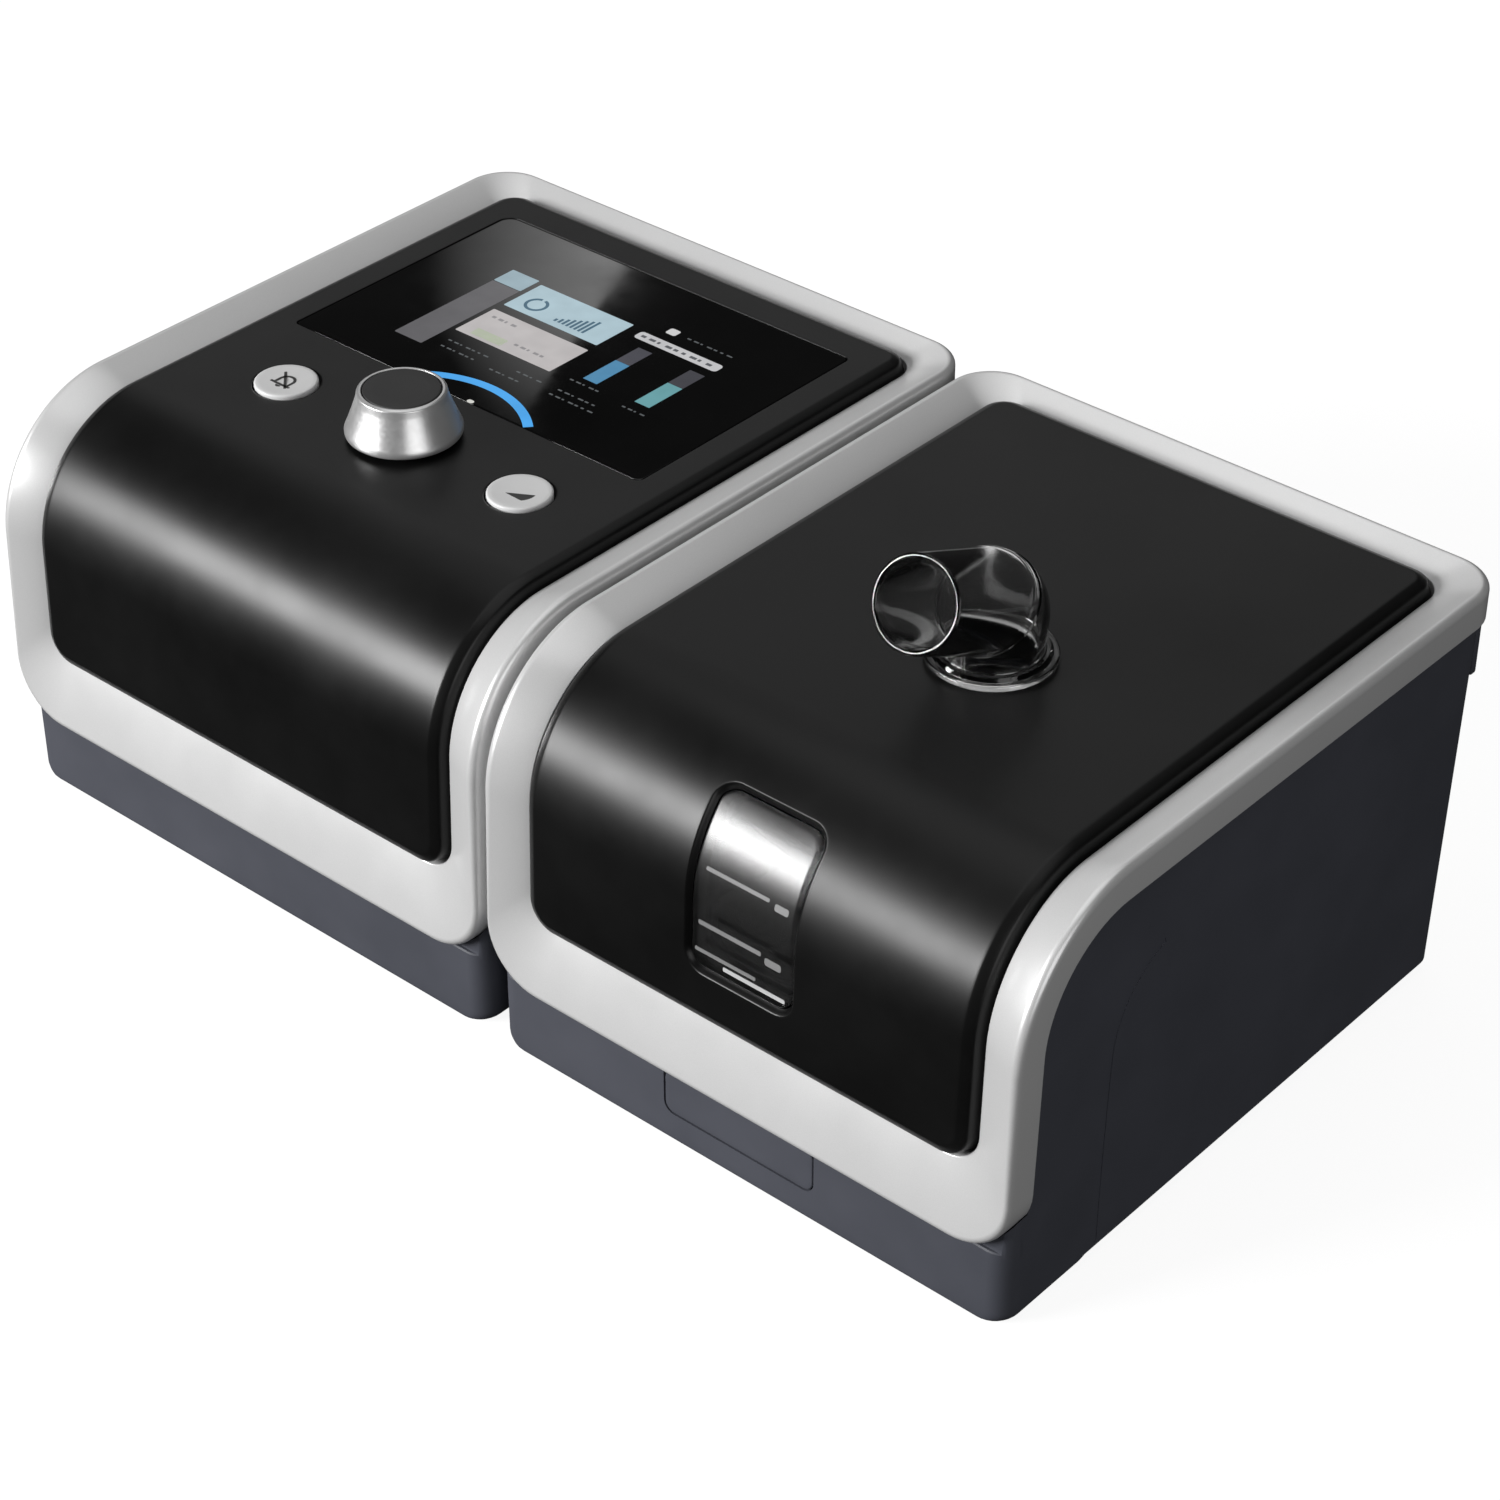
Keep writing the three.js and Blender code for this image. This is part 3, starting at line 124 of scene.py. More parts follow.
def finish_piece(name, mesh, material, body, replaces=(), sharp=32):
    """Links a mesh as a piece of the object: shaded, riding on its body, with its finish."""
    mesh.polygons.foreach_set("use_smooth", [True] * len(mesh.polygons))
    mesh.set_sharp_from_angle(angle=math.radians(sharp))
    piece = bpy.data.objects.new(name, mesh)
    bpy.context.scene.collection.objects.link(piece)
    piece.data.materials.append(material)
    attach(piece, body)
    if replaces:
        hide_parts(*replaces)
    return piece


def mesh_from(points, faces, turned=False):
    """A mesh in metres from points in millimetres, with its faces turned outwards."""
    mesh = bpy.data.meshes.new("mesh")
    mesh.from_pydata([Vector(p) * MM for p in points], [], faces)
    work = bmesh.new()
    work.from_mesh(mesh)
    bmesh.ops.remove_doubles(work, verts=work.verts, dist=MERGE)
    if turned:
        bmesh.ops.dissolve_degenerate(work, dist=MERGE, edges=work.edges)
    bmesh.ops.recalc_face_normals(work, faces=work.faces)
    work.to_mesh(mesh)
    work.free()
    return mesh


def joined(meshes):
    """Several meshes as one."""
    work = bmesh.new()
    for mesh in meshes:
        work.from_mesh(mesh)
        bpy.data.meshes.remove(mesh)
    result = bpy.data.meshes.new("joined")
    work.to_mesh(result)
    work.free()
    return result


def boolean(mesh, cutters, operation="DIFFERENCE"):
    """The mesh cut by, or joined to, other closed meshes."""
    target = bpy.data.objects.new("target", mesh)
    bpy.context.scene.collection.objects.link(target)
    helpers = []
    for cutter in cutters:
        helper = bpy.data.objects.new("cutter", cutter)
        bpy.context.scene.collection.objects.link(helper)
        helpers.append(helper)
        step = target.modifiers.new("cut", "BOOLEAN")
        step.operation = operation
        step.solver = "EXACT"
        step.object = helper
    bpy.context.view_layer.update()
    graph = bpy.context.evaluated_depsgraph_get()
    result = bpy.data.meshes.new_from_object(target.evaluated_get(graph))
    for item in [target, *helpers]:
        bpy.data.objects.remove(item)
    return result


def strip_faces(ring_count, ring_length, closed_rings=True, closed_stack=False):
    """Quads between consecutive rings of equal length."""
    faces = []
    for j in range(ring_count if closed_stack else ring_count - 1):
        here, up = j * ring_length, (j + 1) % ring_count * ring_length
        for k in range(ring_length if closed_rings else ring_length - 1):
            n = (k + 1) % ring_length
            faces.append((here + k, here + n, up + n, up + k))
    return faces


def tube(rings):
    """A closed mesh through a loop of rings, like a bent tube whose end meets its start."""
    points = [p for ring in rings for p in ring]
    return mesh_from(points, strip_faces(len(rings), len(rings[0]), True, True))


def bar(rings):
    """A closed mesh through consecutive rings, with a cap at each end."""
    count = len(rings[0])
    points = [p for ring in rings for p in ring]
    caps = [tuple(range(count)), tuple(range(len(points) - count, len(points)))]
    return mesh_from(points, strip_faces(len(rings), count) + caps)


def upright(a, b, offset):
    return (a, b, offset)


def along_x(a, b, offset):
    return (offset, a, b)


def along_y(a, b, offset):
    return (a, offset, b)


def prism(outline, start, end, place=upright):
    """A closed prism between two offsets along the direction that place gives."""
    loop = outline.loop() if hasattr(outline, "loop") else outline
    return bar([[place(a, b, offset) for a, b in loop] for offset in (start, end)])


def lathe(profile, centre, segments=96, axis=None):
    """A closed turned mesh; the profile is (radius, height) pairs from the axis or closed."""
    closed = profile[0] == profile[-1]
    if closed:
        profile = profile[:-1]
    points = []
    for i in range(segments):
        angle = 2 * math.pi * i / segments
        points += [Vector((r * math.cos(angle), r * math.sin(angle), z)) for r, z in profile]
    faces = strip_faces(segments, len(profile), closed_rings=closed, closed_stack=True)
    if axis is not None:
        turn = Vector((0, 0, 1)).rotation_difference(Vector(axis)).to_matrix()
        points = [turn @ p for p in points]
    return mesh_from([p + Vector(centre) for p in points], faces, turned=True)


def filleted(corners, closed=True):
    """A polyline with rounded corners; each corner is (a, b, radius) or (a, b, radius, steps)."""
    result = []
    count = len(corners)
    for i, corner in enumerate(corners):
        here = Vector(corner[:2])
        radius = corner[2] if len(corner) > 2 else 0
        steps = corner[3] if len(corner) > 3 else 6
        if radius <= 0 or (not closed and i in (0, count - 1)):
            result.append((here.x, here.y))
            continue
        back = Vector(corners[i - 1][:2]) - here
        on = Vector(corners[(i + 1) % count][:2]) - here
        half = back.angle(on) / 2
        reach = min(radius / math.tan(half), 0.49 * back.length, 0.49 * on.length)
        used = reach * math.tan(half)
        centre = here + (back.normalized() + on.normalized()).normalized() * (used / math.sin(half))
        start = here + back.normalized() * reach - centre
        end = here + on.normalized() * reach - centre
        turn = start.angle_signed(end)
        for k in range(steps + 1):
            cos, sin = math.cos(turn * k / steps), math.sin(turn * k / steps)
            spun = Vector((start.x * cos + start.y * sin, start.y * cos - start.x * sin))
            result.append(tuple(centre + spun))
    return result


def turned_part(corners, centre, segments, axis=None):
    """A part turned from a profile that starts and ends on its axis."""
    return lathe(filleted(corners, closed=False), centre, segments, axis)


class Rounded:
    """A rounded rectangle in a plane, which can be grown and sampled with a constant count."""

    def __init__(self, a0, a1, b0, b1, radii, sides=()):
        self.a0, self.a1, self.b0, self.b1 = a0, a1, b0, b1
        # one for all corners, or those at (a1, b0), (a1, b1), (a0, b1) and (a0, b0)
        self.radii = radii if hasattr(radii, "__len__") else (radii,) * 4
        self.sides = sides  # values of b that the straight sides are sampled at

    def loop(self, grow=0.0, steps=12):
        a0, a1, b0, b1 = self.a0 - grow, self.a1 + grow, self.b0 - grow, self.b1 + grow
        r = [max(radius + grow, 0.05) for radius in self.radii]
        centres = [
            (a1 - r[0], b0 + r[0], -0.5),
            (a1 - r[1], b1 - r[1], 0.0),
            (a0 + r[2], b1 - r[2], 0.5),
            (a0 + r[3], b0 + r[3], 1.0),
        ]
        points = []
        for i, (a, b, start) in enumerate(centres):
            for k in range(steps + 1):
                angle = math.pi * (start + 0.5 * k / steps)
                points.append((a + r[i] * math.cos(angle), b + r[i] * math.sin(angle)))
            if i == 0:
                points += [(a1, b) for b in self.sides]
            if i == 2:
                points += [(a0, b) for b in reversed(self.sides)]
        return points


class Circle:
    def __init__(self, a, b, radius, count=64):
        self.a, self.b, self.radius, self.count = a, b, radius, count

    def loop(self, grow=0.0):
        r = self.radius + grow
        turn = [2 * math.pi * k / self.count for k in range(self.count)]
        return [(self.a + r * math.cos(t), self.b + r * math.sin(t)) for t in turn]


def inside(point, loop):
    a, b = point
    hit = False
    for (a0, b0), (a1, b1) in zip(loop, loop[1:] + loop[:1]):
        if (b0 > b) != (b1 > b) and a < (a1 - a0) * (b - b0) / (b1 - b0) + a0:
            hit = not hit
    return hit


def clear_of(points, loop):
    """The points that are a millimetre or more from a loop's corners."""
    return [p for p in points if all((p[0] - a) ** 2 + (p[1] - b) ** 2 >= 1 for a, b in loop)]


def filled(outer, holes, grid=()):
    """Triangles that fill an outline less its holes, through extra grid points."""
    loops = [outer, *holes]
    points = [Vector(p) for loop in loops for p in loop]
    edges = []
    start = 0
    for loop in loops:
        edges += [(start + k, start + (k + 1) % len(loop)) for k in range(len(loop))]
        start += len(loop)
    points += [Vector(p) for p in grid]
    flat, _, triangles, *_ = delaunay_2d_cdt(points, edges, [], 0, 1e-6)
    kept = []
    for triangle in triangles:
        centre = sum((flat[i] for i in triangle), Vector((0, 0))) / 3
        if inside(centre, outer) and not any(inside(centre, hole) for hole in holes):
            kept.append(tuple(triangle))
    return flat, kept


def shell(outer, holes, rim, lips, place, grid=()):
    """A closed sheet: a field, an outer rim and lips round its holes, and an underside.

    rim and lips are lists of (grow, height): rim for the outer outline, and one list for each
    hole. place turns (a, b, height) into a point.
    """
    loops = [(outer, rim), *zip(holes, lips)]
    points = []
    faces = []
    for which in (0, -1):
        flat_loops = [shape.loop(profile[which][0]) for shape, profile in loops]
        keep = clear_of([p for p in grid if inside(p, flat_loops[0])], flat_loops[0])
        for loop in flat_loops[1:]:
            keep = clear_of([p for p in keep if not inside(p, loop)], loop)
        flat, triangles = filled(flat_loops[0], flat_loops[1:], keep)
        start = len(points)
        points += [place(p.x, p.y, rim[which][1]) for p in flat]
        for a, b, c in triangles:
            order = (a, b, c) if which == 0 else (a, c, b)
            faces.append(tuple(start + i for i in order))
    for shape, profile in loops:
        rings = [[place(a, b, h) for a, b in shape.loop(grow)] for grow, h in profile]
        start = len(points)
        points += [p for ring in rings for p in ring]
        quads = strip_faces(len(rings), len(rings[0]))
        faces += [tuple(start + i for i in quad) for quad in quads]
    return mesh_from(points, faces)


def block(x0, y0, z0, x1, y1, z1, edge=0.0):
    """A box, with rounded edges where edge is given."""
    work = bmesh.new()
    bmesh.ops.create_cube(work, size=1)
    for vert in work.verts:
        vert.co.x = MM * (x0 if vert.co.x < 0 else x1)
        vert.co.y = MM * (y0 if vert.co.y < 0 else y1)
        vert.co.z = MM * (z0 if vert.co.z < 0 else z1)
    if edge:
        bmesh.ops.bevel(
            work, geom=work.edges[:], offset=edge * MM, segments=2, profile=0.5, affect="EDGES"
        )
    mesh = bpy.data.meshes.new("block")
    work.to_mesh(mesh)
    work.free()
    return mesh


# -------- materials


class Look:
    """A Principled material, with noises that keep its finish from being quite even."""

    def __init__(self, name, **values):
        self.material = bpy.data.materials.new(name)
        self.material.use_nodes = True
        self.tree = self.material.node_tree
        self.inputs = self.tree.nodes["Principled BSDF"].inputs
        for key, value in values.items():
            socket = self.inputs[key.replace("_", " ")]
            socket.default_value = (*value, 1) if hasattr(value, "__len__") else value

    def node(self, kind, **values):
        made = self.tree.nodes.new("ShaderNode" + kind)
        for key, value in values.items():
            made.inputs[key.replace("_", " ")].default_value = value
        return made

    def noise(self, scale, detail=3.0):
        """Noise fixed to the object's own coordinates; scale is features for each millimetre."""
        where = self.node("TexCoord")
        made = self.node("TexNoise", Scale=scale / MM, Detail=detail, Roughness=0.6)
        self.tree.links.new(where.outputs["Object"], made.inputs["Vector"])
        return made.outputs["Fac"]

    def bump(self, noise, strength, depth):
        made = self.node("Bump", Strength=strength, Distance=depth * MM)
        self.tree.links.new(noise, made.inputs["Height"])
        self.tree.links.new(made.outputs["Normal"], self.inputs["Normal"])

    def vary(self, noise, socket, low, high):
        """Lets a noise move a socket between two values."""
        made = self.node("MapRange", From_Min=0.35, From_Max=0.65, To_Min=low, To_Max=high)
        self.tree.links.new(noise, made.inputs["Value"])
        self.tree.links.new(made.outputs["Result"], self.inputs[socket])

    def vary_colour(self, noise, socket, dark, light):
        made = self.node("ValToRGB")
        for stop, place, colour in zip(made.color_ramp.elements, (0.35, 0.65), (dark, light)):
            stop.position = place
            stop.color = (*colour, 1)
        self.tree.links.new(noise, made.inputs["Fac"])
        self.tree.links.new(made.outputs["Color"], self.inputs[socket])


def grey(value):
    return (value,) * 3


def moulded(name, dark, light, roughness, grain=2.0, bump=0.25, depth=0.02, **values):
    """Moulded plastic: a faint cloudy colour, a fine grain, and roughness that drifts."""
    look = Look(name, **values)
    cloud = look.noise(0.03, detail=4)
    look.vary_colour(cloud, "Base Color", dark, light)
    look.vary(cloud, "Roughness", roughness - 0.03, roughness + 0.03)
    look.bump(look.noise(grain), bump, depth)
    return look.material


def silver_paint():
    """Satin silver lacquer with a fine flake."""
    look = Look("silver_paint", Metallic=0.34, Coat_Weight=0.15, Coat_Roughness=0.2)
    flake = look.noise(6, detail=2)
    look.vary_colour(flake, "Base Color", grey(0.62), grey(0.66))
    look.vary(look.noise(0.05), "Roughness", 0.29, 0.33)
    look.bump(flake, 0.02, 0.01)
    return look.material


def turned_metal(name, colour, roughness, metallic=0.9, bump=0.05):
    """Metal with a fine, slightly uneven finish."""
    look = Look(name, Base_Color=colour, Metallic=metallic)
    look.vary(look.noise(1.2), "Roughness", roughness - 0.03, roughness + 0.03)
    look.bump(look.noise(8), bump, 0.005)
    return look.material


def clear_plastic(name, tint, roughness, ior=1.55, **values):
    look = Look(name, Base_Color=tint, IOR=ior, Transmission_Weight=1.0, **values)
    look.vary(look.noise(0.15), "Roughness", roughness * 0.85, roughness * 1.15)
    return look.material


def lit(name, r, g, b):
    """A lit graphic or light guide of a display colour, given as 0 to 255."""
    colour = []
    for c in (r / 255, g / 255, b / 255):
        colour.append(c / 12.92 if c <= 0.04045 else ((c + 0.055) / 1.055) ** 2.4)
    look = Look(name, Base_Color=grey(0.01), Roughness=0.15, Emission_Strength=1.0)
    dim = [c * 0.9 for c in colour]
    look.vary_colour(look.noise(0.12, detail=2), "Emission Color", dim, colour)
    return look.material


silver = silver_paint()
knob_silver = turned_metal("turned_silver", grey(0.66), 0.33, metallic=0.75, bump=0.01)
black_cover = moulded(
    "black_satin", grey(0.0028), grey(0.0038), 0.35, grain=2.5, bump=0.05, depth=0.01,
    Specular_IOR_Level=0.27,
)
slate = moulded(
    "slate_casing", (0.050, 0.053, 0.066), (0.058, 0.061, 0.076), 0.55, grain=1.6, bump=0.2
)
glass_black = moulded(
    "screen_black", grey(0.002), grey(0.003), 0.035, grain=0.02, bump=0.01, IOR=1.5
)
button_grey = moulded("button_grey", grey(0.56), grey(0.62), 0.4, bump=0.1)
icon_dark = moulded("icon_print", grey(0.02), grey(0.03), 0.5, bump=0.05)
rubber = moulded("rubber_foot", grey(0.012), grey(0.018), 0.8, grain=1.2, bump=0.5)
dark_plastic = moulded("inner_black", grey(0.006), grey(0.009), 0.5)
white_plastic = moulded("inner_white", (0.60, 0.60, 0.58), (0.68, 0.68, 0.66), 0.5)
foam = moulded("filter_foam", grey(0.05), grey(0.11), 0.95, grain=0.9, bump=1.0, depth=0.4)
board_green = moulded("solder_mask", (0.01, 0.10, 0.04), (0.02, 0.15, 0.07), 0.4, bump=0.15)
steel = turned_metal("plated_steel", (0.55, 0.55, 0.56), 0.3)
copper = turned_metal("enamelled_copper", (0.55, 0.25, 0.1), 0.35)
aluminium = turned_metal("brushed_aluminium", (0.75, 0.76, 0.77), 0.32)
clear = clear_plastic("clear_polycarbonate", grey(0.80), 0.06, 1.42)
window_clear = clear_plastic(
    "window_polycarbonate", grey(0.22), 0.2, 1.05,
    Coat_Weight=1.0, Coat_Roughness=0.31, Coat_IOR=1.55,
)
chamber_clear = clear_plastic("chamber_polycarbonate", (0.86, 0.88, 0.90), 0.08)

# -------- silver frames

FRAME_SIDE = 10.3
FRAME_FRONT = 17.1
FRAME_BACK = 7.4
FRAME_DROP = 3.3
FRAME_HEIGHT = 7.9
CREST = 1.6  # rounding of the frame's outer crest
FRAME_LIP = 0.3  # and of its inner edge
INNER_CORNERS = (8, 7, 7, 8)
OUTER_CORNERS = (14, 11, 11, 14)


def frame_section(width):
    """The frame's section as (distance inwards, height), for a place where it is that wide."""
    across = width - CREST
    down = CREST - FRAME_DROP
    slope = math.asin(CREST / math.hypot(across, down)) - math.atan2(down, across)
    corners = [(0.0, -FRAME_HEIGHT), (0.0, -CREST)]
    for k in range(1, 11):
        angle = (math.pi / 2 + slope) * k / 10
        corners.append((CREST - CREST * math.cos(angle), -CREST + CREST * math.sin(angle)))
    centre = -FRAME_DROP - FRAME_LIP * (1 - math.sin(slope)) / math.cos(slope)
    for k in range(5):
        angle = slope + (math.pi / 2 - slope) * k / 4
        inwards = width - FRAME_LIP + FRAME_LIP * math.sin(angle)
        corners.append((inwards, centre + FRAME_LIP * math.cos(angle)))
    return [*corners, (width, -FRAME_HEIGHT)]


def inner_outline(unit, gap, back_clear):
    """The opening of a unit's frame, less a gap all round."""
    s0, s1 = FRAME_FRONT + gap, SKIN_LENGTH - FRAME_BACK - gap
    return Rounded(
        unit[0] + FRAME_SIDE + gap, unit[1] - FRAME_SIDE - gap, s0, s1,
        [r - gap for r in INNER_CORNERS],
        bend_between(FRAME_FRONT + 9, SKIN_LENGTH - FRAME_BACK - back_clear),
    )


def frame_mesh(unit):
    inner = inner_outline(unit, 0, 8)
    outer = Rounded(*unit, 0, SKIN_LENGTH, OUTER_CORNERS, inner.sides)
    columns = []
    for edge, opening_edge in zip(outer.loop(), inner.loop()):
        start = Vector(edge)
        across = Vector(opening_edge) - start
        width = across.length
        across.normalize()
        section = [(start + across * u, h) for u, h in frame_section(width)]
        columns.append([skin_point(at.x, at.y, h) for at, h in section])
    return tube(columns)


for unit, name, body, node in (
    (MAIN, "silver_frame_main", "main_unit", "main_frame"),
    (HUMIDIFIER, "silver_frame_lid", "lid", "lid_frame"),
):
    finish_piece(name, frame_mesh(unit), silver, body, [node])

# -------- black covers

GAP = 0.3

# From the field, over a crisp edge, along a gentle bevel and over a ridge to the groove.
COVER_RIM = [
    (inset, COVER_TOP - drop)
    for inset, drop in (
        (-4.0, 0), (-3.5, 0), (-3.3, 0.04), (-3.0, 0.14), (-2.2, 0.5), (-1.55, 0.82), (-1.3, 1.0),
        (-1.1, 1.3), (-0.95, 1.8), (-0.6, 2.9), (-0.25, 3.9), (0, 4.6),
    )
] + [(0, COVER_BOTTOM)]


def cover_grid(outline):
    rows = list(BEND)
    rows += [RISE - 6 * k for k in range(1, 5)]
    rows += [RISE + ARC + 6 * k for k in range(1, 22)]
    return [(outline.a0 + 6 * k, b) for b in rows for k in range(1, 25)]


def hole_lip(edge=0.35):
    """The rounded lip of a hole through a cover."""
    lip = [(0.9, COVER_TOP), (edge, COVER_TOP)]
    for k in range(1, 5):
        angle = 0.5 * math.pi * k / 4
        lip.append((edge * (1 - math.sin(angle)), COVER_TOP - edge * (1 - math.cos(angle))))
    return [*lip, (0, COVER_BOTTOM)]


def cover_mesh(unit, holes, lips):
    outline = inner_outline(unit, GAP, 9)
    return shell(outline, holes, COVER_RIM, lips, skin_point, cover_grid(outline))


def on_skin(spot, radius):
    return Circle(spot.x, skin_distance(spot.y), radius)


glass_low, glass_high = box_mm("screen_glass")
GLASS_CORNERS = (1.6, 1.6, 3.6, 1.2)  # front right, back right, back left, front left
knob = middle_of("knob_body")
mute = middle_of("mute_button")
ramp = middle_of("ramp_button")
button_low, button_high = box_mm("mute_button")
BUTTON_R = (button_high.x - button_low.x) / 2
KNOB_HOLE_R = 6.2
screen_hole = Rounded(
    glass_low.x - 0.2, glass_high.x + 0.2,
    skin_distance(glass_low.y) - 0.2, skin_distance(glass_high.y) + 0.2, GLASS_CORNERS,
)
main_holes = [
    screen_hole, on_skin(knob, KNOB_HOLE_R),
    on_skin(mute, BUTTON_R + 0.4), on_skin(ramp, BUTTON_R + 0.4),
]
main_lips = [hole_lip(0.15), hole_lip(), hole_lip(0.5), hole_lip(0.5)]
finish_piece(
    "cover_main", cover_mesh(MAIN, main_holes, main_lips), black_cover,
    "main_unit", ["main_cover"],
)

gasket = middle_of("outlet_gasket")
ELBOW_R = 10.9
window_low, window_high = box_mm("level_window")
WINDOW = Rounded(
    window_low.x - 0.1, window_high.x + 0.1, 31.1, 73.4, 4.2, bend_between(36, 68.5)
)
WINDOW_LIP = [
    (inset, COVER_TOP - drop)
    for inset, drop in (
        (1.5, 0), (1.1, 0), (1.0, 0.02), (0.75, 0.2), (0.45, 0.75), (0.2, 1.1), (0, 1.3),
    )
] + [(0, COVER_BOTTOM)]
lid_holes = [WINDOW, on_skin(gasket, ELBOW_R + 0.3)]
finish_piece(
    "cover_lid", cover_mesh(HUMIDIFIER, lid_holes, [WINDOW_LIP, hole_lip()]), black_cover,
    "lid", ["lid_cover"],
)

# -------- casing bases

base_low, base_high = box_mm("main_base")
BASE_FRONT = base_low.y
BASE_BACK = base_high.y
SKID_Z = base_low.z
SKIRT_Z = 2.9
SKID_END = BASE_FRONT + 24
SKID_STEP = 2
SIDE_INSET = 0.9  # of the side walls, under the frames' edges
WALL = 2.4
CAVITY_Z = 7.6
POCKET_Z = 5.3
BACK_LEAN = 4.0
LEAN_START = 50
BOTTOM_R = 3.0
TOE_R = 0.6
CORNER_R = 5.0
FRAME_SEAT = -8.2
SEAT_R = SKIN_RADIUS + FRAME_SEAT


def held(share):
    return min(1.0, max(0.0, share))


def round_inset(radius, up):
    """How far a rounded lower edge draws a wall in at a height above its foot."""
    up = min(radius, max(0.0, up))
    return radius - math.sqrt(radius**2 - (radius - up) ** 2)


def seat_height(y):
    """Height of a base's upper edge, just under the frame."""
    bend_y = CENTRE_Y - SEAT_R * math.cos(SKIN_LEAN)
    if y >= CENTRE_Y:
        return CENTRE_Z + SEAT_R
    if y >= bend_y:
        return CENTRE_Z + math.sqrt(SEAT_R**2 - (y - CENTRE_Y) ** 2)
    low = skin_point(0, 0, FRAME_SEAT)
    share = max(0.0, (y - low.y) / (bend_y - low.y))
    return low.z + share * (CENTRE_Z + SEAT_R * math.sin(SKIN_LEAN) - low.z)


def floor_height(y):
    """Height of a base's underside: a skid along the front, and a skirt behind it."""
    return SKID_Z + held((y - SKID_END) / SKID_STEP) * (SKIRT_Z - SKID_Z)


def side_x(unit, z, side):
    """The outer face of a base's side wall at a height; side is -1 or 1."""
    middle, half = sum(unit) / 2, (unit[1] - unit[0]) / 2 - SIDE_INSET
    return middle + side * (half - round_inset(BOTTOM_R, z - SKID_Z))


def wall_point(unit, x, y, z):
    """A point of the plan outline, moved to where the leaning walls are at a height."""
    middle, half = sum(unit) / 2, (unit[1] - unit[0]) / 2 - SIDE_INSET
    x = middle + (x - middle) * (side_x(unit, z, 1) - middle) / half
    lean = BACK_LEAN * (1 - z / TOP_Z)
    y -= lean * held((y - LEAN_START) / (BASE_BACK - CORNER_R - LEAN_START))
    y += round_inset(TOE_R, z - SKID_Z) * held((BASE_FRONT + CORNER_R - y) / CORNER_R)
    return (x, y, z)


def base_plan(unit, sides=()):
    return Rounded(
        unit[0] + SIDE_INSET, unit[1] - SIDE_INSET, BASE_FRONT, BASE_BACK, CORNER_R, sides
    )


def base_form(unit):
    """A base as one closed wall with a floor, before its openings are cut."""
    seat_ys = [CENTRE_Y - SEAT_R * math.cos(SKIN_LEAN + 0.05 * k) for k in range(31)]
    step_ys = (SKID_END, SKID_END + SKID_STEP)
    sides = sorted([BASE_FRONT + CORNER_R + 0.4, *step_ys, *seat_ys, -20, 0, 20, 40, 60])
    plan = base_plan(unit, [y for k, y in enumerate(sides) if k == 0 or y - sides[k - 1] > 0.05])
    outer, lip, inner = (plan.loop(grow, steps=8) for grow in (0, -0.3, -WALL))

    def ring(loop, height):
        return [wall_point(unit, x, y, height(y)) for x, y in loop]

    start = SKID_Z + BOTTOM_R
    rings = []
    for k in range(9):
        level = SKID_Z + BOTTOM_R * (1 - math.cos(0.5 * math.pi * k / 8))
        rings.append(ring(outer, lambda y: max(level, floor_height(y))))
    for share in (0.15, 0.5, 0.8, 0.95):
        rings.append(ring(outer, lambda y: start + share * (seat_height(y) - start)))
    rings.append(ring(outer, lambda y: seat_height(y) - 0.3))
    rings += [ring(lip, seat_height), ring(inner, seat_height), ring(inner, lambda y: CAVITY_Z)]
    points = [p for ring_points in rings for p in ring_points]
    faces = strip_faces(len(rings), len(rings[0]))
    rows = [(x, y) for y in step_ys for x in range(-140, 141, 5)]
    for level_ring, grid, height in (
        (rings[0], rows, floor_height), (rings[-1], [], lambda y: CAVITY_Z)
    ):
        loop = [(p[0], p[1]) for p in level_ring]
        flat, triangles = filled(loop, [], clear_of([p for p in grid if inside(p, loop)], loop))
        offset = len(points)
        points += [(p.x, p.y, height(p.y)) for p in flat]
        faces += [tuple(offset + i for i in t) for t in triangles]
    return mesh_from(points, faces)


def corner_web(unit, x0):
    """A web in a front corner, flush with the wall, that follows the frame's rounded foot."""
    patch = Rounded(x0, x0 + 15, -1.5, 15, 0.5)
    web = shell(patch, [], [(0, -3.4), (0, FRAME_SEAT - 1.3)], [], skin_point)
    foot = Rounded(unit[0] - 0.3, unit[1] + 0.3, -0.3, 40, OUTER_CORNERS[0] + 0.3)
    room = shell(foot, [], [(0, 1), (0, FRAME_SEAT)], [], skin_point)
    return boolean(boolean(web, [room]), [prism(base_plan(unit), 0, TOP_Z)], "INTERSECT")


def opening(low, high, axes, grow, radius):
    """The rounded outline of a box seen along one axis, grown a little."""
    a, b = axes
    return Rounded(low[a] - grow, high[a] + grow, low[b] - grow, high[b] + grow, radius)


GROOVE_Y = -51.3
GROOVE_R = 21.5
GROOVE_HALF = 0.55
GROOVE_DEPTH = 0.14


